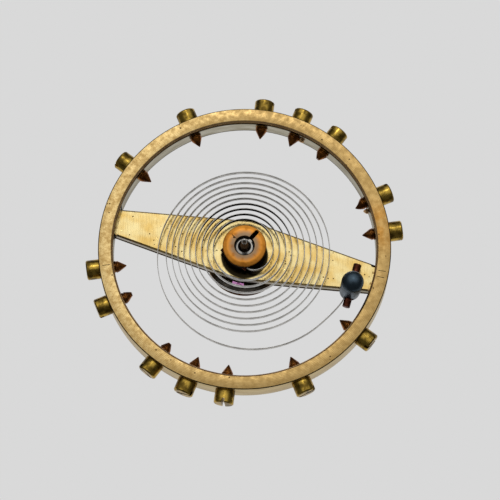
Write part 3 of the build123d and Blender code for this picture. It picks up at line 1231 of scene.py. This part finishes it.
@dataclass
class TimingScrews:
    """Fourteen threaded screws in the rim, seven on each half."""

    TIPS: ClassVar[Mapping[int, ScrewTip]] = {
        2: ScrewTip(lean=(0.11, -0.08)),
        3: ScrewTip(TipWear.BLUNT),
        9: ScrewTip(TipWear.BLUNT, (-0.02, 0.09)),
        10: ScrewTip(TipWear.BLUNT),
    }

    half_directions: Sequence[float] = (20.5, 35.5, 65.5, 80.5, 95.5, 125.5, 155.5)
    slot_turns: Sequence[float] = (12, 40, 35, 24, 150, 12, 30, 165, 5, 140, 30, 93, 27, 140)
    head_radius: float = 0.61
    head_height: float = 0.81
    head_bevel: float = 0.07
    head_edge_rounding: float = 0.03
    head_bevel_rounding: float = 0.04
    slot_width: float = 0.17
    slot_depth: float = 0.26
    neck_radius: float = 0.34
    neck_length: float = 0.07
    shank_radius: float = 0.375
    shank_projection: float = 0.2
    point_length: float = 0.56
    point_radius: float = 0.03
    blunting: float = 0.14
    thread_pitch: float = 0.15
    thread_depth: float = 0.05
    # The thread runs out over the last share of the cone, from a share of its depth
    cone_thread_share: float = 0.3
    cone_thread_depth: float = 0.5
    ring_step: float = 0.02
    steps: int = 48

    def __post_init__(self) -> None:
        """Take the rim's place from the frame, and make the finish that all screws share."""
        self.rim_outer = outer_radius("balance_wheel")
        self.rim_inner = self.rim_outer - BalanceWheel.rim_width
        self.brass = ScrewBrass().material()

    @property
    def directions(self) -> list[float]:
        """Every screw's direction."""
        return [*self.half_directions, *(angle + HALF_TURN for angle in self.half_directions)]

    def section(self, wear: TipWear) -> list[Corner]:
        """The screw's section along its axis.

        Args:
            wear: How its point has worn.

        Returns:
            Distance from the staff, radius and share of the thread's depth, ring by ring.
        """
        shank_end = self.rim_inner - self.shank_projection
        tip = shank_end - self.point_length
        rings = []
        slope = (self.shank_radius - self.point_radius) / self.point_length
        start = tip + (self.blunting if wear is TipWear.BLUNT else 0.0)
        cone_rings = round((shank_end - start) / self.ring_step)
        for ring in range(cone_rings):
            place = start + (shank_end - start) * ring / cone_rings
            up_cone = (place - tip) / self.point_length
            cut_in = ease((up_cone - (1 - self.cone_thread_share)) / self.cone_thread_share)
            radius = self.point_radius + slope * (place - tip)
            rings.append((place, radius, self.cone_thread_depth * cut_in))
        neck_start = self.rim_outer - self.neck_length
        shank_rings = round((neck_start - shank_end) / self.ring_step)
        for ring in range(shank_rings + 1):
            place = shank_end + (neck_start - shank_end) * ring / shank_rings
            rings.append((place, self.shank_radius, 1.0))
        head_top = self.rim_outer + self.head_height
        head = rounded(
            [
                (neck_start, self.neck_radius, 0),
                (self.rim_outer, self.neck_radius, 0),
                (self.rim_outer, self.head_radius, self.head_edge_rounding),
                (head_top - self.head_bevel, self.head_radius, self.head_bevel_rounding),
                (head_top, self.head_radius - self.head_bevel, self.head_edge_rounding),
                (head_top, 0, 0),
            ]
        )
        return rings + [(place, radius, 0.0) for place, radius in head[:-1]]

    def turned(self, tip: ScrewTip, into_place: Matrix) -> Solid:
        """The screw before its slot is cut, along +Z from the staff's axis.

        Args:
            tip: How its point differs from a new one.
            into_place: How the screw is laid in the rim later.

        Returns:
            The solid.
        """
        bend_end = self.rim_inner - self.shank_projection / 2
        lean = into_place.inverted() @ Vector((*tip.lean, 0.0))
        solid = bmesh.new()
        rings = []
        for place, radius, thread in self.section(tip.wear):
            leaning = lean * ease((bend_end - place) / self.point_length)
            ring = []
            for step in range(self.steps):
                turn = step / self.steps
                wave = abs(2 * ((place / self.thread_pitch - turn) % 1.0) - 1.0)
                here = radius - thread * self.thread_depth * (1 - wave)
                ring.append(solid.verts.new(polar(here, FULL_TURN * turn, place) + leaning))
            rings.append(ring)
        stack(solid, rings, capped=True)
        return solid

    def screw(self, number: int) -> Piece:
        """Build and dress one screw.

        Args:
            number: The screw's number, from one.

        Returns:
            The finished piece.
        """
        node = f"timing_screw_{number:02d}"
        into_place = along(polar(1.0, self.directions[number - 1]), Vector())
        made = to_object(self.turned(self.TIPS.get(number, ScrewTip()), into_place), f"{node}_made")
        head_top = Matrix.Translation((0, 0, self.rim_outer + self.head_height))
        slot = (2 * self.head_radius + OVERRUN, self.slot_width, 2 * self.slot_depth)
        slot_turn = about_staff(self.slot_turns[number - 1])
        work(made, Cut.REMOVE, [block(slot, head_top @ slot_turn)])
        made.data.transform(into_place)
        dress(made, [self.brass], node)
        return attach(made, Body.BALANCE.value)

    def build(self) -> list[Piece]:
        """Build and dress every screw.

        Returns:
            The finished pieces.
        """
        return [self.screw(number) for number in range(1, len(self.directions) + 1)]


@dataclass
class StaffAssembly:
    """The balance staff with its collet, rollers and impulse jewel."""

    flange_radius: float = 1.15
    flange_height: float = 0.35
    flange_rounding: float = 0.06
    wheel_seat_radius: float = 0.8
    bar_top: float = 0.1
    collet_seat_radius: float = 0.585
    collet_seat_height: float = 0.8
    shoulder_rounding: float = 0.02
    shoulder_fall: float = 0.036
    arbor_root_radius: float = 0.38
    arbor_fillet_width: float = 0.02
    arbor_fillet_height: float = 0.03
    arbor_fillet_rounding: float = 0.05
    upper_arbor_end_radius: float = 0.16
    roller_seat_radius: float = 0.42
    lower_arbor_end_radius: float = 0.2
    lower_arbor_height: float = 0.35
    pivot_radius: float = 0.06
    pivot_end_share: float = 0.7
    pivot_length: float = 0.34
    trumpet_height: float = 0.2
    trumpet_steps: int = 8
    collet_radius: float = 1.34
    collet_height: float = 0.97
    collet_foot_rounding: float = 0.03
    collet_dish: float = 0.08
    collet_edge_rounding: float = 0.07
    collet_crown_width: float = 0.26
    collet_crown_fall: float = 0.015
    collet_crown_rounding: float = 0.4
    collet_bore_bevel: float = 0.05
    collet_slit_width: float = 0.27
    collet_slit_floor: float = 0.35
    collet_slit_end: float = 1.28
    collet_slit_direction: float = 62.0
    collet_hole_radius: float = 0.17
    collet_hole_distance: float = 0.95
    collet_hole_direction: float = 241.9
    collet_dot_radius: float = 0.06
    collet_dot_depth: float = 0.06
    collet_dot_place: Point = (-0.74, 0.37)
    # The collet is bright on top above this depth; its walls, its slit, the bore's bevel and the
    # dot get painted shade
    collet_edge_depth: float = 0.42
    collet_bright_tilt: float = 0.15
    collet_dark_bore: float = 0.045
    collet_dark_dot: float = 1.05
    # The pin in the collet: thick and thin radius, how far it stands out and how far it sits in
    collet_pin_radii: Point = (0.1, 0.085)
    collet_pin_reach: float = 0.055
    collet_pin_inset: float = 0.1
    table_bevel: float = 0.07
    safety_bevel: float = 0.04
    jewel_direction: float = -90.0
    jewel_centre_radius: float = 1.88
    jewel_radius: float = 0.38
    jewel_flat_depth: float = 0.45
    jewel_clearance: float = 0.004
    jewel_bevel: float = 0.03
    jewel_steps: int = 64
    crescent_radius: float = 0.42
    crescent_depth: float = 0.24
    fine: float = 0.02
    steps: int = 128

    def __post_init__(self) -> None:
        """Take the strip's height from the frame, and make the finish that both rollers share."""
        self.spring_height = sum(heights("hairspring")) / 2
        self.roller_steel = ROLLER_STEEL.material()

    def trumpet(self, wide: float, start: float, upwards: float) -> list[Point]:
        """The curve by which an arbor narrows to its pivot.

        Args:
            wide: The arbor's radius, where the curve starts.
            start: The height where it starts.
            upwards: One where the pivot stands above, minus one where it hangs below.

        Returns:
            Radius and height of its points, from the arbor to the pivot.
        """
        points = []
        for step in range(1, self.trumpet_steps + 1):
            turn = math.pi / 2 * step / self.trumpet_steps
            radius = self.pivot_radius + (wide - self.pivot_radius) * (1 - math.sin(turn))
            points.append((radius, start + upwards * self.trumpet_height * (1 - math.cos(turn))))
        return points

    def staff(self) -> Piece:
        """The staff, turned from one bar.

        Returns:
            The finished piece.
        """
        low, high = heights("balance_staff")
        wheel_low = heights("balance_wheel")[0]
        flange_low = wheel_low - self.flange_height
        lower_arbor = low + self.pivot_length + self.trumpet_height
        roller_low = lower_arbor + self.lower_arbor_height
        upper_arbor = high - self.pivot_length - self.trumpet_height
        seat_top = self.bar_top + self.collet_seat_height
        pivot_end = self.pivot_radius * self.pivot_end_share
        middle = [
            (self.lower_arbor_end_radius, lower_arbor, 0),
            (self.arbor_root_radius, roller_low, self.fine),
            (self.roller_seat_radius, roller_low, self.fine),
            (self.roller_seat_radius, flange_low, 0),
            (self.flange_radius, flange_low, self.flange_rounding),
            (self.flange_radius, wheel_low, 0),
            (self.wheel_seat_radius, wheel_low, 0),
            (self.wheel_seat_radius, self.bar_top, 0),
            (self.collet_seat_radius, self.bar_top, 0),
            (self.collet_seat_radius, seat_top - self.shoulder_fall, self.shoulder_rounding),
            (
                self.arbor_root_radius + self.arbor_fillet_width,
                seat_top,
                self.arbor_fillet_rounding,
            ),
            (self.arbor_root_radius, seat_top + self.arbor_fillet_height, 0),
            (self.upper_arbor_end_radius, upper_arbor, 0),
        ]
        profile = [
            (0.0, low),
            (pivot_end, low),
            (self.pivot_radius, low + self.fine),
            *self.trumpet(self.lower_arbor_end_radius, lower_arbor, -1.0)[::-1],
            *rounded(middle),
            *self.trumpet(self.upper_arbor_end_radius, upper_arbor, 1.0),
            (self.pivot_radius, high - self.fine),
            (pivot_end, high),
            (0.0, high),
        ]
        made = to_object(lathe(profile, self.steps), "balance_staff_made")
        dress(made, [STAFF_STEEL.material()], "balance_staff")
        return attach(made, Body.BALANCE.value)

    def cross_hole(self, distance: float) -> Matrix:
        """The place of the collet's cross hole, or of what lies along it at another distance."""
        foot = polar(distance, self.collet_hole_direction, self.spring_height)
        return along(polar(1.0, self.collet_hole_direction + QUARTER_TURN), foot)

    def collet_cutters(self) -> list[Solid]:
        """What is cut out of the collet: its slit with a round end, its cross hole and its dot.

        Returns:
            The cutters.
        """
        turn = about_staff(self.collet_slit_direction)
        middle = self.bar_top + self.collet_slit_floor + self.collet_height / 2
        end_radius = self.collet_slit_width / 2
        run = self.collet_slit_end - end_radius
        slit_size = (run, self.collet_slit_width, self.collet_height)
        slit = block(slit_size, turn @ Matrix.Translation((run / 2, 0, middle)))
        end_place = turn @ Matrix.Translation((run, 0, middle))
        end = rod(end_radius, self.collet_height, end_place, steps=24)
        hole_place = self.cross_hole(self.collet_hole_distance)
        hole = rod(self.collet_hole_radius, 2 * self.collet_radius, hole_place, steps=32)
        top = self.bar_top + self.collet_height
        dot_place = Matrix.Translation((*self.collet_dot_place, top))
        dot = rod(self.collet_dot_radius, 2 * self.collet_dot_depth, dot_place, steps=24)
        return [slit, end, hole, dot]

    def collet(self) -> Piece:
        """The collet: a slit ring with a rounded outer edge, a cross hole and a punched dot.

        Returns:
            The finished piece.
        """
        radius, bore = self.collet_radius, self.collet_seat_radius
        foot, top = self.bar_top, self.bar_top + self.collet_height
        crown = (radius - self.collet_crown_width, top - self.collet_crown_fall)
        corners = [
            (bore, foot, 0),
            (radius, foot, self.collet_foot_rounding),
            (radius, top - self.collet_dish, self.collet_edge_rounding),
            (*crown, self.collet_crown_rounding),
            (bore + self.collet_bore_bevel, top, self.fine),
            (bore, top - self.collet_bore_bevel, self.fine),
        ]
        profile = rounded(corners, closed=True, arc_steps=6)
        made = to_object(lathe(profile, self.steps, closed=True), "collet_made")
        work(made, Cut.REMOVE, self.collet_cutters())
        dot = Vector(self.collet_dot_place)
        chosen = []
        for face in made.data.polygons:
            place = face.center
            near_top = place.z > top - self.collet_edge_depth
            in_bore = place.xy.length < bore + self.collet_dark_bore
            in_dot = (place.xy - dot).length < self.collet_dot_radius * self.collet_dark_dot
            on_top = near_top and face.normal.z > self.collet_bright_tilt
            # Faces that aren't bright on top get painted shade
            chosen.append(0 if on_top and not in_bore and not in_dot else 1)
        materials = [ColletBronze().material(), DarkRecess("bronze_painted_shade").material()]
        dress(made, materials, "collet", chosen=chosen)
        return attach(made, Body.BALANCE.value)

    def collet_pin(self) -> Piece:
        """The small pin that wedges the strip's inner end in the collet's cross hole.

        Returns:
            The finished piece.
        """
        distance = self.collet_hole_distance + self.collet_hole_radius - self.collet_pin_inset
        chord = math.sqrt(self.collet_radius**2 - self.collet_hole_distance**2)
        half = chord + self.collet_pin_reach
        thick, thin = self.collet_pin_radii
        corners = [(0, -half, 0), (thick, -half, self.fine), (thin, half, self.fine), (0, half, 0)]
        solid = lathe(rounded(corners), steps=32)
        solid.transform(self.cross_hole(distance))
        made = to_object(solid, "collet_pin_made")
        dress(made, [PIN_BRASS.material()], "collet_pin")
        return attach(made, Body.BALANCE.value)

    def jewel_outline(self, grow: float = 0.0) -> list[Point]:
        """The jewel's D-shaped outline in the frame's own axes.

        Args:
            grow: How far it is moved outwards on every side.

        Returns:
            The outline's points.
        """
        centre = polar(self.jewel_centre_radius, self.jewel_direction)
        flat = self.jewel_flat_depth - self.jewel_radius + grow
        points = []
        for step in range(self.jewel_steps):
            point = polar(self.jewel_radius + grow, FULL_TURN * step / self.jewel_steps)
            point.x = min(point.x, flat)
            points.append(tuple((centre + about_staff(self.jewel_direction) @ point).xy))
        return points

    def jewel(self) -> Piece:
        """The impulse jewel, with its ends' edges softly bevelled.

        Returns:
            The finished piece.
        """
        low, high = heights("impulse_jewel")
        solid = prism(self.jewel_outline(-self.jewel_clearance), low, high)
        edges = [
            edge for edge in solid.edges
            if len({round(vert.co.z, 4) for vert in edge.verts}) == 1
        ]
        bmesh.ops.bevel(
            solid, geom=edges, offset=self.jewel_bevel, segments=3, profile=0.5, affect="EDGES"
        )
        made = to_object(solid, "impulse_jewel_made")
        dress(made, [Ruby().material()], "impulse_jewel")
        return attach(made, Body.BALANCE.value)

    def jewel_hole(self) -> Solid:
        """What the jewel's hole takes out of the roller table."""
        low, high = heights("roller_table")
        return prism(self.jewel_outline(), low - OVERRUN, high + OVERRUN)

    def crescent(self) -> Solid:
        """What the crescent takes out of the safety roller.

        Returns:
            The cutter.
        """
        low, high = heights("safety_roller")
        distance = outer_radius("safety_roller") + self.crescent_radius - self.crescent_depth
        place = Matrix.Translation(polar(distance, self.jewel_direction, (low + high) / 2))
        return rod(self.crescent_radius, high - low + 2 * OVERRUN, place, steps=64)

    def roller(self, node: str, bevel: float, cutter: Solid) -> Piece:
        """One of the two rollers.

        Args:
            node: The roller's node in the frame.
            bevel: Its outer edges' bevel.
            cutter: What is cut out of it.

        Returns:
            The finished piece.
        """
        low, high = heights(node)
        radius = outer_radius(node)
        corners = [
            (self.roller_seat_radius, low, 0),
            (radius - bevel, low, self.fine),
            (radius, low + bevel, self.fine),
            (radius, high - bevel, self.fine),
            (radius - bevel, high, self.fine),
            (self.roller_seat_radius, high, 0),
        ]
        profile = rounded(corners, closed=True, arc_steps=2)
        made = to_object(lathe(profile, self.steps, closed=True), f"{node}_made")
        work(made, Cut.REMOVE, [cutter])
        dress(made, [self.roller_steel], node)
        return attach(made, Body.BALANCE.value)

    def build(self) -> list[Piece]:
        """Build and dress the staff and what sits on it.

        Returns:
            The finished pieces.
        """
        return [
            self.staff(),
            self.collet(),
            self.collet_pin(),
            self.roller("roller_table", self.table_bevel, self.jewel_hole()),
            self.roller("safety_roller", self.safety_bevel, self.crescent()),
            self.jewel(),
        ]


@dataclass
class Hairspring:
    """The flat strip: it winds outwards a little off centre and rises outwards to the stud."""

    strip_thickness: float = 0.042
    strip_height: float = 0.36
    strip_corner_share: float = 0.5
    collet_radius: float = 1.34
    hole_distance: float = 0.895
    hole_direction: float = 241.9
    exit_direction: float = 290.0
    tail_length: float = 0.6
    tail_step: float = 0.1
    tail_points: int = 12
    start_direction: float = 302.0
    start_radius: float = 1.686
    pitch: float = 0.371
    eccentricity: float = 0.03
    eccentricity_growth: float = 0.035
    eccentric_direction: float = 303.0
    # The last turn swings out to the stud's distance between these numbers of turns
    rise: float = 1.06
    rise_start: float = 9.55
    rise_end: float = 10.2
    coil_start: float = 0.08
    coil_end: float = 10.07
    samples_per_turn: int = 144
    into_coil_points: int = 12
    into_stud_points: int = 16
    into_stud_ending: float = 0.45
    stud_entry: Point = (6.63, -1.84)
    stud_run_direction: float = 87.5
    stud_length: float = 1.76
    stud_points: int = 8
    # The length of the strip's start that the collet holds
    clamped_length: float = 1.2
    # The inner side of this many turns from the inside gets painted shade
    dark_turns: float = 4.28
    inner_side: int = 5

    def radius(self, turns: float) -> float:
        """The strip's distance from the staff.

        Args:
            turns: How many turns it has made.

        Returns:
            The distance.
        """
        direction = self.start_direction + FULL_TURN * turns
        off = self.eccentricity + self.eccentricity_growth * turns
        lean = off * math.cos(math.radians(direction - self.eccentric_direction))
        share = (turns - self.rise_start) / (self.rise_end - self.rise_start)
        return self.start_radius + self.pitch * turns + lean + self.rise * ease(share)

    def bridge(
        self, start: Vector, leaving: Vector, end: Vector, arriving: Vector, count: int,
        ending: float = 1.0,
    ) -> list[Vector]:
        """A smooth curve between two places.

        Args:
            start: Where it leaves.
            leaving: The unit direction in which it leaves.
            end: Where it arrives.
            arriving: The unit direction in which it arrives.
            count: How many points it gets.
            ending: How early it turns into its last direction, where one is even.

        Returns:
            The points between the two ends.
        """
        reach = (end - start).length
        points = []
        for step in range(1, count):
            s = step / count
            points.append(
                start * (2 * s**3 - 3 * s**2 + 1)
                + leaving * reach * (s**3 - 2 * s**2 + s)
                + end * (3 * s**2 - 2 * s**3)
                + arriving * reach * ending * (s**3 - s**2)
            )
        return points

    def coil(self) -> list[Vector]:
        """The points of the wound part.

        Returns:
            The points, from the collet outwards.
        """
        length = self.coil_end - self.coil_start
        count = round(length * self.samples_per_turn)
        turns = [self.coil_start + length * step / count for step in range(count + 1)]
        return [polar(self.radius(turn), self.start_direction + FULL_TURN * turn) for turn in turns]

    def path(self) -> list[Vector]:
        """The strip's middle line, from its end in the collet to its end past the stud.

        Returns:
            The line's points.
        """
        foot = polar(self.hole_distance, self.hole_direction)
        inner_run = polar(1.0, self.hole_direction + QUARTER_TURN)
        collet_exit = polar(self.collet_radius, self.exit_direction)
        reaches = [self.tail_step * step - self.tail_length for step in range(self.tail_points)]
        tail = [foot + inner_run * reach for reach in reaches]
        tail = [point for point in tail if (point - collet_exit).dot(inner_run) < 0]
        coil = self.coil()
        stud_run = polar(1.0, self.stud_run_direction)
        entry = Vector((*self.stud_entry, 0.0))
        first_run = (coil[1] - coil[0]).normalized()
        last_run = (coil[-1] - coil[-2]).normalized()
        into_coil = self.bridge(collet_exit, inner_run, coil[0], first_run, self.into_coil_points)
        into_stud = self.bridge(
            coil[-1], last_run, entry, stud_run, self.into_stud_points, self.into_stud_ending
        )
        step_length = self.stud_length / self.stud_points
        stud = [entry + stud_run * (step_length * step) for step in range(self.stud_points + 1)]
        return [*tail, collet_exit, *into_coil, *coil, *into_stud, *stud]

    def section(self) -> list[Point]:
        """The strip's section with its four corners cut: places across it and along +Z.

        Returns:
            The section's points, in order.
        """
        half, top = self.strip_thickness / 2, self.strip_height / 2
        corner = half * self.strip_corner_share
        right = [(half - corner, top), (half, top - corner)]
        right += [(half, corner - top), (half - corner, -top)]
        return right + [(-across, -up) for across, up in right]

    def strip(self, path: Sequence[Vector]) -> Solid:
        """Carry the section along a line.

        Args:
            path: The strip's middle line.

        Returns:
            The solid.
        """
        height = sum(heights("hairspring")) / 2
        solid = bmesh.new()
        rings = []
        for before, point, after in zip([path[0], *path], path, [*path[1:], path[-1]]):
            run = (after - before).normalized()
            outwards = Vector((run.y, -run.x, 0.0))
            places = [
                point + outwards * across + Vector((0, 0, height + up))
                for across, up in self.section()
            ]
            rings.append([solid.verts.new(place) for place in places])
        stack(solid, rings, capped=True)
        return solid

    def build(self) -> list[Piece]:
        """Build and dress the strip.

        Returns:
            The finished piece, in a list.
        """
        path = self.path()
        sides = len(self.section())
        made = to_object(self.strip(path), "hairspring_made")
        # The inner side of the inner turns gets painted shade
        dark_faces = sides * round(self.dark_turns * self.samples_per_turn)
        chosen = [
            int(number < dark_faces and number % sides == self.inner_side)
            for number in range(len(made.data.polygons))
        ]
        materials = [STRIP_STEEL.material(), STRIP_PAINTED_SHADE.material()]
        dress(made, materials, "hairspring", 50.0, chosen)
        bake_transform(made)
        return [made]


@dataclass
class StudAssembly:
    """The hairspring stud and the tapered pin in its cross hole."""

    centre_radius: float = 6.975
    direction: float = -10.0
    radius: float = 0.63
    foot_bevel: float = 0.18
    foot_rounding: float = 0.05
    dome_height: float = 0.62
    dome_radius: float = 0.68
    dome_steps: int = 14
    lean: Point = (0.151, 0.143)
    hole_radius: float = 0.3
    hole_offset: float = 0.1
    hole_direction: float = 87.5
    pin_offset: float = 0.06
    pin_thick_radius: float = 0.25
    pin_thin_radius: float = 0.235
    pin_thick_reach: float = 1.7
    pin_thin_reach: float = 1.1
    pin_rounding: float = 0.03
    steps: int = 96

    def __post_init__(self) -> None:
        """Take the cross hole's height from the frame."""
        height = sum(heights("hairspring")) / 2
        self.centre = polar(self.centre_radius, self.direction, height)
        self.run = polar(1.0, self.hole_direction)
        self.outwards = polar(1.0, self.hole_direction - QUARTER_TURN)

    def stud(self) -> Piece:
        """The post, leaning a little, with its domed near end.

        Returns:
            The finished piece.
        """
        low, high = heights("hairspring_stud")
        shoulder = high - self.dome_height
        corners = [
            (0, low, 0),
            (self.radius - self.foot_bevel, low, self.foot_rounding),
            (self.radius, low + self.foot_bevel, self.foot_rounding),
            (self.dome_radius, shoulder, 0),
        ]
        dome = []
        for step in range(1, self.dome_steps):
            turn = math.pi / 2 * step / self.dome_steps
            height = shoulder + self.dome_height * math.sin(turn)
            dome.append((self.dome_radius * math.cos(turn), height))
        solid = lathe([*rounded(corners), *dome, (0.0, high)], self.steps)
        for vert in solid.verts:
            share = (vert.co.z - low) / (high - low)
            vert.co += Vector((*self.lean, 0.0)) * share
        solid.transform(Matrix.Translation(self.centre.xy.to_3d()))
        made = to_object(solid, "hairspring_stud_made")
        place = along(self.run, self.centre + self.outwards * self.hole_offset)
        work(made, Cut.REMOVE, [rod(self.hole_radius, 3 * self.radius, place)])
        dress(made, [STUD_STEEL.material()], "hairspring_stud")
        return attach(made, Body.STUD_GROUP.value)

    def pin(self) -> Piece:
        """The tapered pin, cut square at both ends.

        Returns:
            The finished piece.
        """
        corners = [
            (0, -self.pin_thin_reach, 0),
            (self.pin_thin_radius, -self.pin_thin_reach, self.pin_rounding),
            (self.pin_thick_radius, self.pin_thick_reach, self.pin_rounding),
            (0, self.pin_thick_reach, 0),
        ]
        solid = lathe(rounded(corners), steps=48)
        solid.transform(along(self.run, self.centre + self.outwards * self.pin_offset))
        made = to_object(solid, "stud_pin_made")
        dress(made, [PIN_BRASS.material()], "stud_pin")
        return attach(made, Body.STUD_GROUP.value)

    def build(self) -> list[Piece]:
        """Build and dress the stud and its pin.

        Returns:
            The finished pieces.
        """
        return [self.stud(), self.pin()]


@dataclass
class Studio:
    """A pale floor far below, a soft key light and the camera at the photograph's angle."""

    camera_place: Corner = (10.951, -41.688, 142.335)
    camera_right: Corner = (0.97435, 0.22494, -0.0067)
    camera_back: Corner = (0.0715, -0.2810, 0.9571)
    lens: float = 173.6
    # In metres
    camera_clip: Point = (0.001, 10.0)
    pale: str = "#D9D9D9"
    floor_depth: float = 160.0
    floor_size: float = 420.0
    floor_steps: int = 96
    key_direction: Corner = (-0.109, 0.472, 0.875)
    key_distance: float = 300.0
    key_size: float = 55.0
    key_power: float = 0.07
    # The sky brightens between two cosines of the angle to its centre
    sky_centre: Corner = (-0.1, 0.4, 0.9)
    sky_cosines: Point = (0.52, 0.92)
    sky_light: Point = (0.09, 0.82)
    # The shade that the camera casts in the metal: its edge and its core, in degrees
    shade_edge: float = 15.0
    shade_core: float = 11.0
    shade_light: float = 0.02

    def camera(self) -> None:
        """Place the camera."""
        back = Vector(self.camera_back).normalized()
        right = Vector(self.camera_right)
        right = (right - back * right.dot(back)).normalized()
        data = bpy.data.cameras.new("camera")
        data.lens = self.lens
        data.clip_start, data.clip_end = self.camera_clip
        made = bpy.data.objects.new("camera", data)
        turn = Matrix((right, back.cross(right), back)).transposed().to_4x4()
        made.matrix_world = Matrix.Translation(Vector(self.camera_place) * MM) @ turn
        bpy.context.scene.collection.objects.link(made)
        bpy.context.scene.camera = made

    def key_light(self) -> None:
        """Hang the key light, which draws the coils' shadows on the crossbar."""
        data = bpy.data.lights.new("key", "AREA")
        data.shape = "DISK"
        data.size = self.key_size * MM
        data.energy = self.key_power
        made = bpy.data.objects.new("key", data)
        place = Vector(self.key_direction).normalized() * self.key_distance * MM
        made.matrix_world = along(place, place)
        bpy.context.scene.collection.objects.link(made)

    def floor(self) -> None:
        """Lay the pale floor, which shows its own colour to the eye and in the metal."""
        solid = bmesh.new()
        bmesh.ops.create_circle(
            solid, cap_ends=True, segments=self.floor_steps, radius=self.floor_size
        )
        solid.transform(Matrix.Translation((0, 0, -self.floor_depth)))
        made = to_object(solid, "floor")
        made.data.transform(Matrix.Scale(MM, 4))
        material = bpy.data.materials.new("floor_paper")
        material.use_nodes = True
        nodes = Nodes(material.node_tree)
        colour = {"Color": linear(self.pale)}
        lit = add_node(nodes.tree, "ShaderNodeBsdfDiffuse", colour).outputs[0]
        shown = add_node(nodes.tree, "ShaderNodeEmission", colour | {"Strength": 1.0}).outputs[0]
        both = add_node(nodes.tree, "ShaderNodeMixShader", {0: self.seen(nodes), 1: lit, 2: shown})
        add_node(nodes.tree, "ShaderNodeOutputMaterial", {"Surface": both.outputs[0]})
        made.data.materials.append(material)

    def seen(self, nodes: Nodes) -> Socket:
        """One for rays of the eye, of glossy metal and through glass, and nought for the rest.

        Args:
            nodes: The floor's node tree.

        Returns:
            The socket of the result.
        """
        rays = add_node(nodes.tree, "ShaderNodeLightPath").outputs
        direct = nodes.sum("MAXIMUM", rays["Is Camera Ray"], rays["Is Glossy Ray"])
        return nodes.sum("MAXIMUM", direct, rays["Is Transmission Ray"])

    def sky(self) -> None:
        """Make the room: pale to the eye, bright overhead and dark at the horizon for the metal."""
        world = bpy.data.worlds.new("room")
        bpy.context.scene.world = world
        world.use_nodes = True
        nodes = Nodes(world.node_tree)
        towards = add_node(nodes.tree, "ShaderNodeTexCoord").outputs["Generated"]
        to_sky, to_camera = (
            nodes.sum("DOT_PRODUCT", towards, tuple(Vector(centre).normalized()),
                      kind=VECTOR_MATHS, output="Value")
            for centre in (self.sky_centre, self.camera_back)
        )
        overhead = nodes.span(to_sky, *self.sky_cosines, *self.sky_light)
        edge, core = (math.cos(math.radians(turn)) for turn in (self.shade_edge, self.shade_core))
        past_shade = nodes.span(to_camera, edge, core, 1.0, self.shade_light)
        light = nodes.sum("MULTIPLY", overhead, past_shade)
        room, pale = (
            add_node(nodes.tree, "ShaderNodeBackground", {"Color": colour, "Strength": strength})
            for colour, strength in (((1.0, 1.0, 1.0, 1.0), light), (linear(self.pale), 1.0))
        )
        eye = add_node(nodes.tree, "ShaderNodeLightPath").outputs["Is Camera Ray"]
        shown = {0: eye, 1: room.outputs[0], 2: pale.outputs[0]}
        both = add_node(nodes.tree, "ShaderNodeMixShader", shown)
        add_node(nodes.tree, "ShaderNodeOutputWorld", {"Surface": both.outputs[0]})

    def build(self) -> None:
        """Set the camera, the lights, the floor and the view."""
        self.camera()
        self.key_light()
        self.floor()
        self.sky()
        bpy.context.scene.view_settings.view_transform = "Standard"


def main() -> None:
    """Build every sub-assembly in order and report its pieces."""
    logging.basicConfig(level=logging.INFO, format="%(message)s")
    Studio().build()
    screws = TimingScrews()
    wheel = BalanceWheel(screw_directions=screws.directions)
    pieces = [wheel.build(), *screws.build(), *StaffAssembly().build()]
    pieces += [*Hairspring().build(), *StudAssembly().build()]
    for piece in pieces:
        report(piece)


if __name__ == "__main__":
    main()
